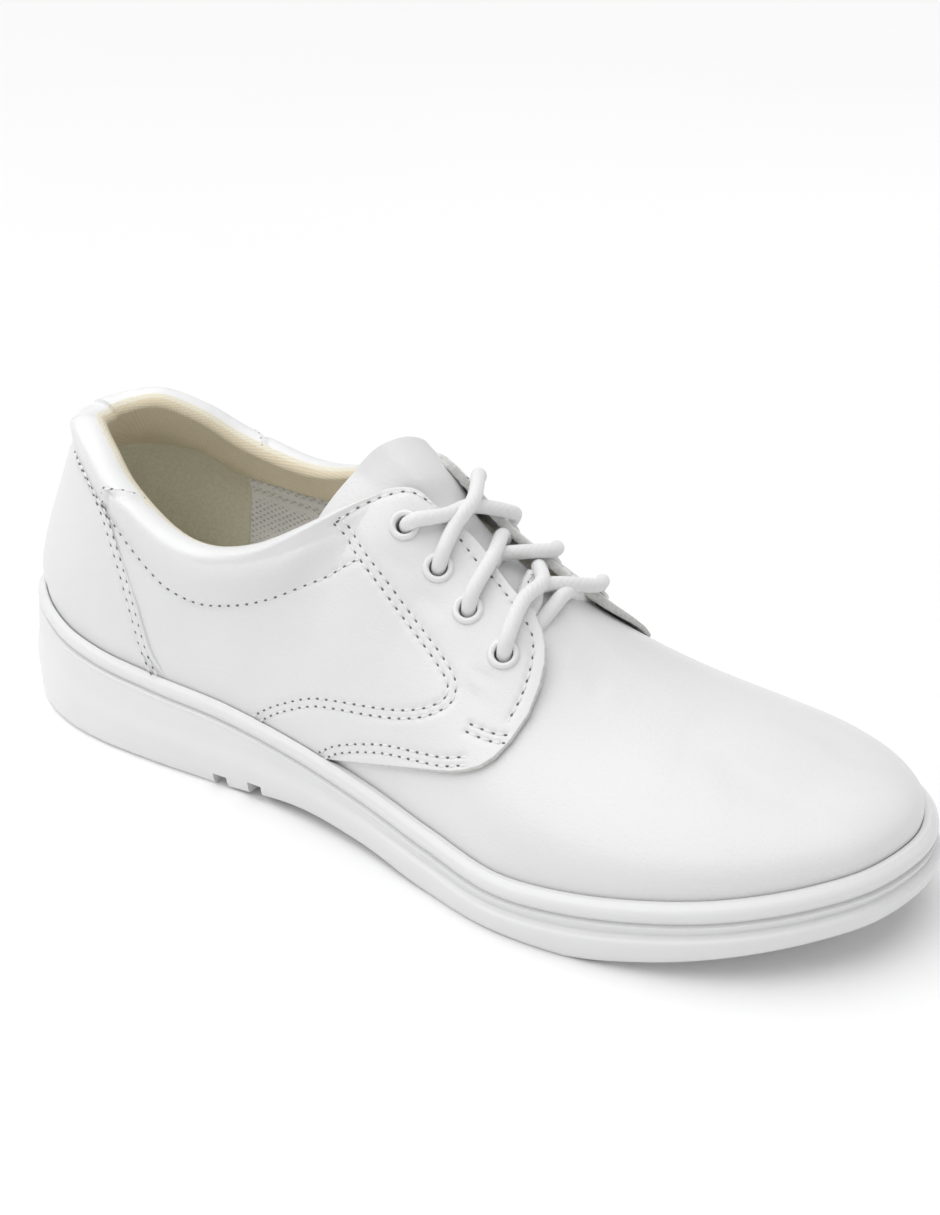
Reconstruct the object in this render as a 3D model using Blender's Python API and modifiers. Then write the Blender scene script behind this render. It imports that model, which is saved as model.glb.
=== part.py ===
"""A white lace-up service shoe for the right foot: a derby of smooth leather on a moulded sole.

The toe points along +X, the outer side lies at -Y, and the sole stands on z = 0. The origin is on the
ground under the middle of the heel. Every form is worked out from the last: a table of profiles that
rise from the foot line, where upper and sole meet, over the instep or up to the collar.
"""

import math

import bmesh
import bpy
import numpy as np
from mathutils import Matrix, Vector

MM = 0.001

UPPER_LENGTH = 280 * MM
BALL_WIDTH = 103 * MM
HEEL_WIDTH = 69 * MM
INSTEP_HEIGHT = 104 * MM
HEEL_LINE = 32 * MM
BALL_LINE = 14 * MM
TOE_LIFT_OF_LINE = 10.5 * MM
HEEL_CENTRE = 42 * MM

WALL = 2.0 * MM
PADDING = 4.5 * MM
SEAT_DEPTH = 7 * MM
GAP = 0.3 * MM
OVERLAY = 1.4 * MM
LAY = 0.48 * MM
INSOLE = 3.5 * MM

BEAD = 4.2 * MM
LEDGE_DROP = 5.6 * MM
ARCH_LIFT = 4 * MM
TOE_LIFT = 12 * MM
HEEL_BEVEL = 6 * MM

SEAM = 0.002

GROOVE_WIDTH = 5 * MM
GROOVE_DEPTH = 1.6 * MM
GROOVE_INSET = 9 * MM

TONGUE_DEPTH = 4.3 * MM
TONGUE_TOP_DEPTH = 1.0 * MM
TONGUE_THICK = 5.0 * MM
TONGUE_EDGE = 1.0 * MM
TONGUE_RISE = 10 * MM
TONGUE_UNDERLAP = 0.17
TONGUE_ROUND = 0.2

EYELET_HOLE = 4.8 * MM
EYELET_FLANGE = 8.2 * MM
EYELET_SHELL = 0.45 * MM
EYELET_CROWN = 1.1 * MM
LACE = 4.0 * MM

# How many profiles one side of the meshes has from one share of the way round to the next: toe, waist, heel.
STATION_COLUMNS = ("start", "end", "count")
STATIONS = (
    (0.00, 0.22, 7),
    (0.22, 0.50, 7),
    (0.50, 0.66, 5),
    (0.66, 0.80, 3),
    (0.80, 1.00, 9),
)
THROAT = 12
UPPER_ROWS = (-1.0, 0.0, 0.12, 0.28, 0.44, 0.60, 0.76, 0.90, 1.0)
RIDGE_ROWS = 3
ACROSS = 4
CROWN = 0.35

# A row for each profile of the last, from the toe (along 0) to the back of the heel (along 1).
# reach: the foot line's place, a share of UPPER_LENGTH from the back of the heel.
# outer, inner: half widths there, shares of BALL_WIDTH where ball is 1 and of HEEL_WIDTH where it is 0.
# rise: the foot line's height from BALL_LINE to HEEL_LINE; spring: its lift, a share of TOE_LIFT_OF_LINE.
# top_x, top_out, top_in, top_z: the profile's upper end, shares of UPPER_LENGTH, HEEL_WIDTH and
# INSTEP_HEIGHT. lean, low: the lower handle's outward lean in degrees and its length as a share of the
# chord; tilt, high: the same for the upper handle, measured down from level.
# edge, edge_in: how far up the profile the leather reaches, on the outer and the inner side.
# padding: how much of PADDING the collar has.
SECTION_COLUMNS = (
    "along", "reach", "outer", "inner", "ball", "rise", "spring", "top_x", "top_out", "top_in", "top_z",
    "lean", "low", "tilt", "high", "edge", "edge_in", "padding",
)
SECTIONS = (
    (0.000, 1.000, -.02, .020, 1.0, .00, 1.00, .850, .00, .00, .372, 16, .30, 1, .31, 1.0, 1.0, 0.0),
    (0.050, 0.985, .160, .175, 1.0, .00, .95, .846, .00, .00, .374, 16, .30, 1, .31, 1.0, 1.0, 0.0),
    (0.100, 0.950, .290, .300, 1.0, .00, .80, .838, .00, .00, .380, 16, .30, 1, .31, 1.0, 1.0, 0.0),
    (0.155, 0.900, .400, .395, 1.0, .00, .60, .820, .00, .00, .394, 16, .30, 1, .31, 1.0, 1.0, 0.0),
    (0.215, 0.840, .470, .455, 1.0, .00, .36, .788, .00, .00, .418, 15, .30, 1, .31, 1.0, 1.0, 0.0),
    (0.275, 0.770, .510, .485, 1.0, .00, .13, .740, .00, .00, .464, 14, .30, 2, .31, .98, .98, 0.0),
    (0.335, 0.700, .513, .480, 1.0, .00, .00, .690, .00, .00, .535, 13, .30, 5, .31, .86, .86, 0.0),
    (0.405, 0.620, .480, .425, 0.9, .11, .00, .630, .00, .00, .645, 12, .30, 10, .31, .85, .87, 0.0),
    (0.490, 0.530, .440, .345, 0.7, .24, .00, .565, .00, .00, .780, 10, .30, 18, .30, .905, .905, 0.0),
    (0.570, 0.440, .440, .330, 0.4, .41, .00, .500, .00, .00, .930, 10, .30, 30, .30, .815, .890, 0.0),
    (0.655, 0.340, .465, .385, 0.1, .58, .00, .410, .33, .32, 1.000, 9, .30, 60, .30, .590, .66, 1.0),
    (0.745, 0.240, .485, .450, 0.0, .70, .00, .300, .39, .38, 1.000, 7, .30, 80, .30, .565, .605, 1.0),
    (0.810, 0.165, .470, .455, 0.0, .81, .00, .210, .37, .36, 1.000, 4, .30, 85, .30, .690, .665, 1.0),
    (0.865, 0.107, .420, .412, 0.0, .95, .00, .157, .30, .295, 1.000, 1, .30, 88, .30, .780, .765, 1.0),
    (0.915, 0.057, .320, .312, 0.0, 1.13, .00, .117, .215, .21, 1.000, -2, .30, 90, .30, .82, .82, 1.0),
    (0.955, 0.027, .205, .205, 0.0, 1.25, .00, .095, .125, .125, 1.000, -4, .30, 90, .30, .81, .81, 1.0),
    (1.000, 0.008, .000, .000, 0.0, 1.32, .00, .086, .00, .00, 1.000, -5, .30, 90, .30, .80, .80, 1.0),
)

# The sole's underside along the same stations, shares of ARCH_LIFT, TOE_LIFT and HEEL_BEVEL.
GROUND_COLUMNS = ("along", "arch", "toe", "bevel")
GROUND = (
    (0.000, 0.00, 1.00, 0.00),
    (0.050, 0.00, 0.94, 0.00),
    (0.100, 0.00, 0.80, 0.00),
    (0.155, 0.00, 0.57, 0.00),
    (0.215, 0.00, 0.27, 0.00),
    (0.275, 0.00, 0.00, 0.00),
    (0.335, 0.00, 0.00, 0.00),
    (0.405, 0.06, 0.00, 0.00),
    (0.490, 0.55, 0.00, 0.00),
    (0.570, 0.80, 0.00, 0.00),
    (0.655, 0.06, 0.00, 0.00),
    (0.745, 0.00, 0.00, 0.00),
    (0.810, 0.00, 0.00, 0.00),
    (0.865, 0.00, 0.00, 0.00),
    (0.915, 0.00, 0.00, 0.00),
    (0.955, 0.00, 0.00, 0.40),
    (1.000, 0.00, 0.00, 1.00),
)

# The sole's side from its lip down to the ground. Rows of part 0 lie level * LEDGE_DROP under the foot
# line; rows of part 1 lie that share of the way from the ledge to the ground, at the heel and the ball.
# heel, waist, ball: how far out of the foot line the row stands, a share of BEAD.
SIDE_COLUMNS = ("part", "level_heel", "level_ball", "heel", "waist", "ball")
SIDE = (
    (0, -0.13, -0.13, 0.50, 0.50, 0.50),
    (0, 0.08, 0.08, 0.84, 0.84, 0.84),
    (0, 0.34, 0.34, 1.00, 1.00, 1.00),
    (0, 0.62, 0.62, 0.90, 0.88, 0.86),
    (0, 0.84, 0.84, 0.76, 0.70, 0.66),
    (0, 0.92, 0.92, 0.94, 0.86, 0.84),
    (1, 0.04, 0.04, 0.98, 0.84, 0.82),
    (1, 0.30, 0.16, 1.22, 0.88, 0.78),
    (1, 0.52, 0.30, 1.44, 1.05, 1.06),
    (1, 0.68, 0.46, 1.48, 1.15, 1.26),
    (1, 0.86, 0.74, 1.42, 1.10, 1.20),
    (1, 0.96, 0.93, 1.28, 1.00, 1.04),
    (1, 1.00, 1.00, 1.10, 0.90, 0.86),
)

# The tread's grooves: their place, a share of UPPER_LENGTH from the back of the heel, and whether they
# run out through the sole's side.
GROOVE_COLUMNS = ("reach", "open")
GROOVES = (
    (0.075, 0),
    (0.125, 0),
    (0.175, 0),
    (0.335, 1),
    (0.381, 1),
    (0.625, 0),
    (0.675, 0),
    (0.725, 0),
    (0.775, 0),
    (0.825, 0),
)

# The quarter's lower and upper outline at places along the last, as shares of the way up.
QUARTER_COLUMNS = ("along", "low", "high")
QUARTER = (
    (0.3500, 0.550, 0.550),
    (0.3535, 0.440, 0.650),
    (0.3600, 0.365, 0.735),
    (0.3700, 0.310, 0.800),
    (0.3850, 0.262, 1.000),
    (0.4030, 0.230, 1.000),
    (0.4450, 0.165, 1.000),
    (0.4950, 0.085, 1.000),
    (0.5450, 0.000, 1.000),
)
QUARTER_FRONT_ROWS = 5

# The heel counter's front edge: how far up the profile it lies at places along the last.
COUNTER_COLUMNS = ("along", "up")
COUNTER = (
    (0.725, 0.00),
    (0.743, 0.11),
    (0.760, 0.25),
    (0.780, 0.38),
    (0.805, 0.51),
    (0.832, 0.60),
    (0.870, 0.66),
    (0.910, 0.73),
    (0.945, 0.82),
)

# The eyelets of one side as (along, up), from the top pair down.
EYELETS = ((0.533, 0.785), (0.489, 0.760), (0.443, 0.715), (0.393, 0.665))


def table(columns, rows):
    return {name: np.array([row[i] for row in rows], float) for i, name in enumerate(columns)}


LAST = table(SECTION_COLUMNS, SECTIONS)
UNDER = table(GROUND_COLUMNS, GROUND)
RIBS = table(SIDE_COLUMNS, SIDE)
FLAP = table(QUARTER_COLUMNS, QUARTER)
HEEL_PIECE = table(COUNTER_COLUMNS, COUNTER)
HALF = sum(row[-1] for row in STATIONS)
UP = np.array([0.0, 0.0, 1.0])


def unit(v):
    return v / np.maximum(np.linalg.norm(v, axis=-1, keepdims=True), 1e-12)


def smooth(x):
    x = np.clip(x, 0, 1)
    return x * x * (3 - 2 * x)


def round_the_shoe(outer, inner, s):
    """A smooth closed curve through a table's columns: s is 0 at the toe, 1 at the heel and 2 at the toe."""
    along = LAST["along"]
    knots = np.concatenate([along, 2 - along[-2:0:-1]])
    values = np.concatenate([outer, inner[-2:0:-1]])
    knots = np.concatenate([knots[-2:] - 2, knots, knots[:3] + 2])
    values = np.concatenate([values[-2:], values, values[:3]])
    step = np.diff(knots)
    rate = np.diff(values) / step
    slope = np.zeros(len(knots))
    slope[1:-1] = (rate[:-1] * step[1:] + rate[1:] * step[:-1]) / (step[1:] + step[:-1])
    s = np.mod(np.asarray(s, float), 2.0)
    i = np.clip(np.searchsorted(knots, s, side="right") - 1, 1, len(knots) - 3)
    h = knots[i + 1] - knots[i]
    t = (s - knots[i]) / h
    start = (1 + 2 * t) * (1 - t) ** 2 * values[i] + t * (1 - t) ** 2 * h * slope[i]
    end = t * t * (3 - 2 * t) * values[i + 1] + t * t * (t - 1) * h * slope[i + 1]
    return start + end


def read(name, s, name_inside=None):
    return round_the_shoe(LAST[name], LAST[name_inside or name], s)


def edge(s):
    """How far up its profile the leather reaches at s."""
    return read("edge", s, "edge_in")


def foot_line(s):
    """Where upper and sole meet."""
    width = LAST["ball"] * BALL_WIDTH + (1 - LAST["ball"]) * HEEL_WIDTH
    x = read("reach", s) * UPPER_LENGTH - HEEL_CENTRE
    y = round_the_shoe(-LAST["outer"] * width, LAST["inner"] * width, s)
    lift = LAST["rise"] * (HEEL_LINE - BALL_LINE) + LAST["spring"] * TOE_LIFT_OF_LINE
    return np.stack([x, y, round_the_shoe(lift, lift, s) + BALL_LINE], -1)


def top_line(s):
    """The upper ends of the profiles: the ridge of the instep, then a ring above the ankle."""
    x = read("top_x", s) * UPPER_LENGTH - HEEL_CENTRE
    y = round_the_shoe(-LAST["top_out"] * HEEL_WIDTH, LAST["top_in"] * HEEL_WIDTH, s)
    y = np.where(np.mod(s, 2.0) < 1, np.minimum(y, 0), np.maximum(y, 0))
    return np.stack([x, y, read("top_z", s) * INSTEP_HEIGHT], -1)


def outward(s):
    """The level direction out of the foot line."""
    step = 1e-3
    return unit(np.cross(UP, foot_line(s + step) - foot_line(s - step)) * np.array([1.0, 1.0, 0.0]))


def handles(s):
    """The profile at s as a Bezier curve: foot, lower handle, upper handle, top."""
    foot, top = foot_line(s), top_line(s)
    step = 1e-3
    lean = np.radians(read("lean", s))[..., None]
    tilt = np.radians(read("tilt", s))[..., None]
    chord = np.linalg.norm(foot - top, axis=-1, keepdims=True)
    low = foot + chord * read("low", s)[..., None] * (np.cos(lean) * UP + np.sin(lean) * outward(s))
    away = unit((foot - top) * np.array([1.0, 1.0, 0.0]))
    here = np.maximum(1 - np.abs(1 - np.mod(s, 2.0)), 0.02)
    ridge = top_line(here - step) - top_line(here + step)
    run = np.where(np.abs(ridge[..., :1]) > 1e-6, ridge[..., :1], 1.0)
    climb = np.where(np.abs(ridge[..., :1]) > 1e-6, ridge[..., 2:] / run, 0.0)
    level = away + UP * away[..., :1] * climb
    high = top + chord * read("high", s)[..., None] * (np.cos(tilt) * level - np.sin(tilt) * UP)
    return foot, low, high, top


def bezier(points, t):
    weights = ((1 - t) ** 3, 3 * t * (1 - t) ** 2, 3 * t * t * (1 - t), t ** 3)
    return sum(p * w for p, w in zip(points, weights))


def last_point(s, v):
    """A point of the last: v is the share of the way up the profile, and under 0 it goes down into the sole."""
    s, v = np.broadcast_arrays(np.asarray(s, float), np.asarray(v, float))
    points = handles(s)
    samples = np.linspace(0, 1, 25)
    path = bezier([p[..., None, :] for p in points], samples[:, None])
    run = np.cumsum(np.linalg.norm(np.diff(path, axis=-2), axis=-1), -1)
    run = np.concatenate([np.zeros(run.shape[:-1] + (1,)), run], -1)
    want = np.clip(v, 0, 1) * run[..., -1]
    i = np.clip((run <= want[..., None]).sum(-1) - 1, 0, len(samples) - 2)
    before = np.take_along_axis(run, i[..., None], -1)[..., 0]
    after = np.take_along_axis(run, i[..., None] + 1, -1)[..., 0]
    t = (i + (want - before) / (after - before)) / (len(samples) - 1)
    return bezier(points, t[..., None]) + np.minimum(v, 0)[..., None] * SEAT_DEPTH * UP


def last_normal(s, v):
    step = 2e-3
    s, v = np.broadcast_arrays(np.asarray(s, float), np.asarray(v, float))
    high = np.clip(v + step, 2 * step, 1)
    up_the_profile = last_point(s, high) - last_point(s, high - 2 * step)
    level = np.clip(v, 0, 0.97)
    round_it = last_point(s + step, level) - last_point(s - step, level)
    normal = unit(np.cross(up_the_profile, round_it))
    return np.where(v[..., None] < 0, outward(s), normal)


def skin(s, v, height):
    """A point height above the last's surface, measured along its normal."""
    return last_point(s, v) + last_normal(s, v) * np.asarray(height)[..., None]


def low_edge(s):
    """How far up its profile an overlay starts, clear of the sole's bead."""
    length = np.linalg.norm(foot_line(s) - top_line(s), axis=-1)
    return (0.13 * LEDGE_DROP + 3 * GAP) / length


def mirrored(s, inner):
    return 2 - s if inner else s


def new_object(name, mesh, material, collection):
    obj = bpy.data.objects.new(name, mesh)
    collection.objects.link(obj)
    if material:
        mesh.materials.append(material)
    return obj


def solid(name, points, faces, material, collection, sharp=40):
    """A closed mesh object with its doubles merged and its faces pointing out."""
    mesh = bpy.data.meshes.new(name)
    mesh.from_pydata([tuple(p) for p in points], [], faces)
    work = bmesh.new()
    work.from_mesh(mesh)
    bmesh.ops.remove_doubles(work, verts=work.verts, dist=1e-6)
    bmesh.ops.dissolve_degenerate(work, edges=work.edges, dist=1e-7)
    bmesh.ops.triangulate(work, faces=work.faces)
    bmesh.ops.recalc_face_normals(work, faces=work.faces)
    work.to_mesh(mesh)
    work.free()
    mesh.shade_smooth()
    mesh.set_sharp_from_angle(angle=math.radians(sharp))
    return new_object(name, mesh, material, collection)


def slab(outside, inside):
    """Points and faces of a closed slab between two grids of points of the same size."""
    rows, columns = outside.shape[:2]
    points = np.concatenate([outside.reshape(-1, 3), inside.reshape(-1, 3)])
    other = rows * columns
    faces = []
    for i in range(rows - 1):
        for j in range(columns - 1):
            a, b, c, d = (i * columns + j, i * columns + j + 1, (i + 1) * columns + j + 1, (i + 1) * columns + j)
            faces.append((a, b, c, d))
            faces.append((other + d, other + c, other + b, other + a))
    rim = [(0, j) for j in range(columns - 1)]
    rim += [(i, columns - 1) for i in range(rows - 1)]
    rim += [(rows - 1, j) for j in range(columns - 1, 0, -1)]
    rim += [(i, 0) for i in range(rows - 1, 0, -1)]
    rim = [i * columns + j for i, j in rim]
    for a, b in zip(rim, rim[1:] + rim[:1]):
        faces.append((b, a, other + a, other + b))
    return points, faces


def material_of(name, colour, roughness, metallic=0.0):
    material = bpy.data.materials.new(name)
    material.use_nodes = True
    shader = material.node_tree.nodes["Principled BSDF"]
    shader.inputs["Base Color"].default_value = (*colour, 1)
    shader.inputs["Roughness"].default_value = roughness
    shader.inputs["Metallic"].default_value = metallic
    return material


def cut(obj, cutter, name, operation="DIFFERENCE"):
    modifier = obj.modifiers.new(name, "BOOLEAN")
    modifier.operation = operation
    modifier.solver = "EXACT"
    modifier.object = cutter


def ring_of_stations():
    """The profiles that the meshes stand on, once round the shoe from the toe."""
    side = np.concatenate([np.linspace(a, b, count, endpoint=False) for a, b, count in STATIONS])
    return np.concatenate([side, [1.0], 2 - side[:0:-1]])


def across(ring, strips=ACROSS):
    """A grid that fills a ring of points with strips from the outer side to the inner side."""
    outer = ring[: HALF + 1]
    inner = ring[[(2 * HALF - i) % (2 * HALF) for i in range(HALF + 1)]]
    share = np.linspace(0, 1, strips + 1)[None, :, None]
    return outer[:, None] * (1 - share) + inner[:, None] * share


def throat_station():
    return ring_of_stations()[THROAT]


def padding(s, v):
    """The collar's padding inside the leather: full under the edge, gone a few centimetres lower."""
    up = smooth((v / edge(s) - 0.62) / 0.26)
    return PADDING * np.clip(read("padding", s), 0, 1) * up


def upper_stations():
    """The profiles' rows for one wall of the upper, to the edge and, ahead of the throat, on to the ridge."""
    s = ring_of_stations()
    ahead = np.minimum(np.arange(2 * HALF), 2 * HALF - np.arange(2 * HALF)) <= THROAT
    split = np.where(ahead, np.minimum(edge(s), edge(throat_station())), edge(s))
    rows = np.array(UPPER_ROWS)
    v = np.where(rows < 0, rows, rows * split[:, None])
    beyond = split[:, None] + (1 - split[:, None]) * np.arange(1, RIDGE_ROWS + 1) / RIDGE_ROWS
    return s, ahead, v, beyond


def upper_wall():
    """Outer points, inner points, faces and the indices of the vertices at the sole's end of the wall."""
    s, ahead, v, beyond = upper_stations()
    count, rows = len(s), len(UPPER_ROWS)
    outer = [skin(s[:, None], v, 0 * v)]
    inner = [skin(s[:, None], v, -WALL - padding(s[:, None], np.maximum(v, 0)))]
    index = {(i, j): i * rows + j for i in range(count) for j in range(rows)}
    outer, inner = [list(a.reshape(-1, 3)) for a in (outer[0], inner[0])]
    for i in range(count):
        if not ahead[i]:
            continue
        twin = (count - i) % count
        for k in range(RIDGE_ROWS):
            if k == RIDGE_ROWS - 1 and (twin, rows + k) in index:
                index[i, rows + k] = index[twin, rows + k]
                continue
            index[i, rows + k] = len(outer)
            normal = last_normal(s[i], beyond[i, k])
            if k == RIDGE_ROWS - 1:
                normal = unit(normal + last_normal(s[twin], beyond[i, k]))
            point = last_point(s[i], beyond[i, k])
            outer.append(point)
            inner.append(point - WALL * normal)
    faces = []
    for i in range(count):
        after = (i + 1) % count
        top = rows + RIDGE_ROWS if ahead[i] and ahead[after] else rows
        for j in range(top - 1):
            faces.append((index[i, j], index[i, j + 1], index[after, j + 1], index[after, j]))
    low = {index[i, 0] for i in range(count)}
    return np.array(outer), np.array(inner), faces, low


def upper(material, collection):
    """One hollow wall, open underneath, at the throat and at the collar, with a rounded free edge."""
    outer, inner, faces, low = upper_wall()
    other = len(outer)
    edges = {}
    for face in faces:
        for a, b in zip(face, face[1:] + face[:1]):
            if a != b:
                edges[a, b] = face
    free = [(a, b) for a, b in edges if (b, a) not in edges]
    out = {}
    for a, b in free:
        normal = unit(outer[a] - inner[a])
        aside = unit(np.cross(outer[b] - outer[a], normal))
        out[a] = out.get(a, 0) + aside
        out[b] = out.get(b, 0) + aside
    points = list(outer) + list(inner)
    crown = {}
    for a, aside in out.items():
        if a in low:
            continue
        crown[a] = len(points)
        thickness = np.linalg.norm(outer[a] - inner[a])
        points.append((outer[a] + inner[a]) / 2 + unit(aside) * thickness * CROWN)
    all_faces = list(faces)
    all_faces += [tuple(other + a for a in reversed(face)) for face in faces]
    for a, b in free:
        if a in crown:
            all_faces.append((b, a, crown[a], crown[b]))
            all_faces.append((crown[b], crown[a], other + a, other + b))
        else:
            all_faces.append((b, a, other + a, other + b))
    return solid("upper", points, all_faces, material, collection)


def ground(s):
    """The height of the sole's underside at s."""
    height = ARCH_LIFT * round_the_shoe(UNDER["arch"], UNDER["arch"], s)
    height = height + TOE_LIFT * round_the_shoe(UNDER["toe"], UNDER["toe"], s)
    height = height + HEEL_BEVEL * round_the_shoe(UNDER["bevel"], UNDER["bevel"], s)
    return np.where(height < 0.05 * MM, 0.0, height)


def side_row(row, s):
    """One line of the sole's side, right round the shoe."""
    ball = np.clip(read("ball", s), 0, 1)
    waist = 4 * ball * (1 - ball)
    level = RIBS["level_heel"][row] * (1 - ball) + RIBS["level_ball"][row] * ball
    stand = RIBS["heel"][row] * (1 - ball) + RIBS["ball"][row] * ball
    stand = stand * (1 - waist) + RIBS["waist"][row] * waist
    line = foot_line(s)
    ledge = line[..., 2] - LEDGE_DROP
    if RIBS["part"][row] == 0:
        height = line[..., 2] - level * LEDGE_DROP
    else:
        height = ledge + (ground(s) - ledge) * level
    point = line + outward(s) * BEAD * stand[..., None]
    point[..., 2] = height
    return point


def cup_row(s, height):
    """A line of the cup's inner wall, a clearance out of the foot line, height above it."""
    point = foot_line(s) + outward(s) * GAP
    point[..., 2] += height
    return point


def groove_boxes():
    """The tread's grooves as (x, from y, to y, low end of the box)."""
    rim = side_row(len(SIDE) - 1, ring_of_stations())
    outer = rim[: HALF + 1][::-1]
    inner = np.concatenate([rim[:1], rim[:HALF - 1:-1]])[::-1]
    boxes = []
    for reach, through in GROOVES:
        x = reach * UPPER_LENGTH - HEEL_CENTRE
        inset = -BEAD if through else GROOVE_INSET
        y0 = np.interp(x, outer[:, 0], outer[:, 1]) + inset
        y1 = np.interp(x, inner[:, 0], inner[:, 1]) - inset
        under = np.interp(x, outer[:, 0], outer[:, 2])
        boxes.append((x, y0, y1, under))
    return boxes


def grooves(collection):
    """One cutter for all the grooves across the tread."""
    work = bmesh.new()
    for x, y0, y1, under in groove_boxes():
        tall = 2 * GROOVE_DEPTH + 4 * GAP
        size = Matrix.Diagonal((GROOVE_WIDTH, y1 - y0, tall, 1))
        place = Matrix.Translation((x, (y0 + y1) / 2, under + GROOVE_DEPTH - tall / 2))
        bmesh.ops.create_cube(work, size=1, matrix=place @ size)
    mesh = bpy.data.meshes.new("tread_grooves")
    work.to_mesh(mesh)
    work.free()
    cutter = new_object("tread_grooves", mesh, None, collection)
    return cutter


def outsole(material, collection, cutters):
    """The moulded sole: a cup for the upper, a beaded side and a grooved, sprung and arched underside."""
    s = ring_of_stations()
    rings = [cup_row(s, -SEAT_DEPTH - GAP), cup_row(s, 0 * s)]
    rings += [side_row(row, s) for row in range(len(SIDE))]
    count = len(s)
    points = list(np.concatenate(rings))
    faces = []
    for k in range(len(rings) - 1):
        for i in range(count):
            after = (i + 1) % count
            faces.append((k * count + i, k * count + after, (k + 1) * count + after, (k + 1) * count + i))
    for ring in (rings[0], rings[-1]):
        grid = across(ring)
        start = len(points)
        points += list(grid.reshape(-1, 3))
        wide = grid.shape[1]
        for i in range(grid.shape[0] - 1):
            for j in range(wide - 1):
                a = start + i * wide + j
                faces.append((a, a + 1, a + wide + 1, a + wide))
    sole = solid("outsole", points, faces, material, collection, sharp=35)
    cut(sole, grooves(cutters), "tread")
    return sole


def insole(material, collection):
    """The footbed, which lies on the cup's floor inside the upper's wall."""
    s = ring_of_stations()
    ring = foot_line(s) - outward(s) * (WALL + GAP)
    low = ring - UP * SEAT_DEPTH
    high = low + UP * INSOLE
    points, faces = slab(across(high, 2), across(low, 2))
    return solid("insole", points, faces, material, collection)


def tongue_grid(along_count, across_count):
    """Places of the tongue on the last: s, v, rise past its end, and shares along and across, -1 to 1."""
    along = np.linspace(0, 1, along_count)[:, None]
    side = np.linspace(-1, 1, across_count)[None, :]
    start, end = 0.36, 0.565 + 0.036 * side ** 2
    reach = np.minimum(along / 0.9, 1)
    s = start + (end - start) * reach
    low = np.minimum(edge(s), edge(throat_station())) - TONGUE_UNDERLAP
    v = 1 - (1 - low) * np.hypot(side, TONGUE_ROUND) / math.hypot(1, TONGUE_ROUND)
    rise = np.maximum(along - 0.9, 0) / 0.1 * TONGUE_RISE * (1 - 0.75 * side ** 2)
    s, v, rise, along, side = np.broadcast_arrays(s, v, rise, along, side)
    return s, v, rise, along, side


def over_the_instep(s, v, side, height):
    """A point above the instep, where side says how far to the outer (-1) or the inner side (1) it lies."""
    outer = skin(s, v, height)
    inner = skin(2 - s, v, height)
    share = smooth((side / TONGUE_ROUND + 1.2) / 2.4)[..., None]
    return outer * (1 - share) + inner * share


def tongue_point(s, v, rise, side, depth):
    point = over_the_instep(s, v, side, -depth)
    back = over_the_instep(s - 0.02, v, side, -depth)
    return point + unit(point - back) * rise[..., None]


def tongue_depth(along, side):
    """How deep under the last's surface the tongue's face lies."""
    tucked = WALL + 2 * GAP
    depth = tucked + (TONGUE_DEPTH - tucked) * smooth((along - 0.1) / 0.25)
    top = smooth((along - 0.75) / 0.2)
    depth = depth * (1 - top) + TONGUE_TOP_DEPTH * top
    return depth + (0.8 * MM + (TONGUE_DEPTH - TONGUE_TOP_DEPTH) * top) * side ** 2


def tongue(material, collection):
    """The padded tongue, from under the vamp to above the top eyelets."""
    s, v, rise, along, side = tongue_grid(12, 11)
    depth = tongue_depth(along, side)
    full = smooth(along / 0.45) * 0.7 + 0.3
    thick = TONGUE_EDGE + (TONGUE_THICK * full - TONGUE_EDGE) * np.sqrt(np.clip(1 - side ** 4, 0, 1))
    thick = np.where(along > 0.97, thick * 0.6, thick)
    face = tongue_point(s, v, rise, side, depth)
    back = tongue_point(s, v, rise, side, depth + thick)
    points, faces = slab(face, back)
    return solid("tongue", points, faces, material, collection)


def spline(rows, t):
    """A smooth open curve through the rows of a short table, read at shares t of its way."""
    rows = np.asarray(rows, float)
    way = np.linspace(0, 1, len(rows))
    slope = np.gradient(rows, way, axis=0)
    i = np.clip(np.searchsorted(way, t, side="right") - 1, 0, len(rows) - 2)
    h = way[i + 1] - way[i]
    u = ((t - way[i]) / h)[:, None]
    h = h[:, None]
    start = (1 + 2 * u) * (1 - u) ** 2 * rows[i] + u * (1 - u) ** 2 * h * slope[i]
    end = u * u * (3 - 2 * u) * rows[i + 1] + u * u * (u - 1) * h * slope[i + 1]
    return start + end


def counter_edge(s):
    """How far up the profile the heel counter's front edge lies, on either side of the heel."""
    along = np.minimum(s, 2 - s)
    up = np.interp(along, HEEL_PIECE["along"], HEEL_PIECE["up"])
    return np.where(along > HEEL_PIECE["along"][-1], 1.0, np.maximum(up, low_edge(s)))


def columns_between(stations, low, high, rows):
    """A grid of (s, v): a column at each station, from the lower outline to the upper one."""
    low, high = low[:, None], high[:, None]
    v = low + np.maximum(high - low, 0) * np.linspace(0, 1, rows)
    return stations[:, None] + 0 * v, v


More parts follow.
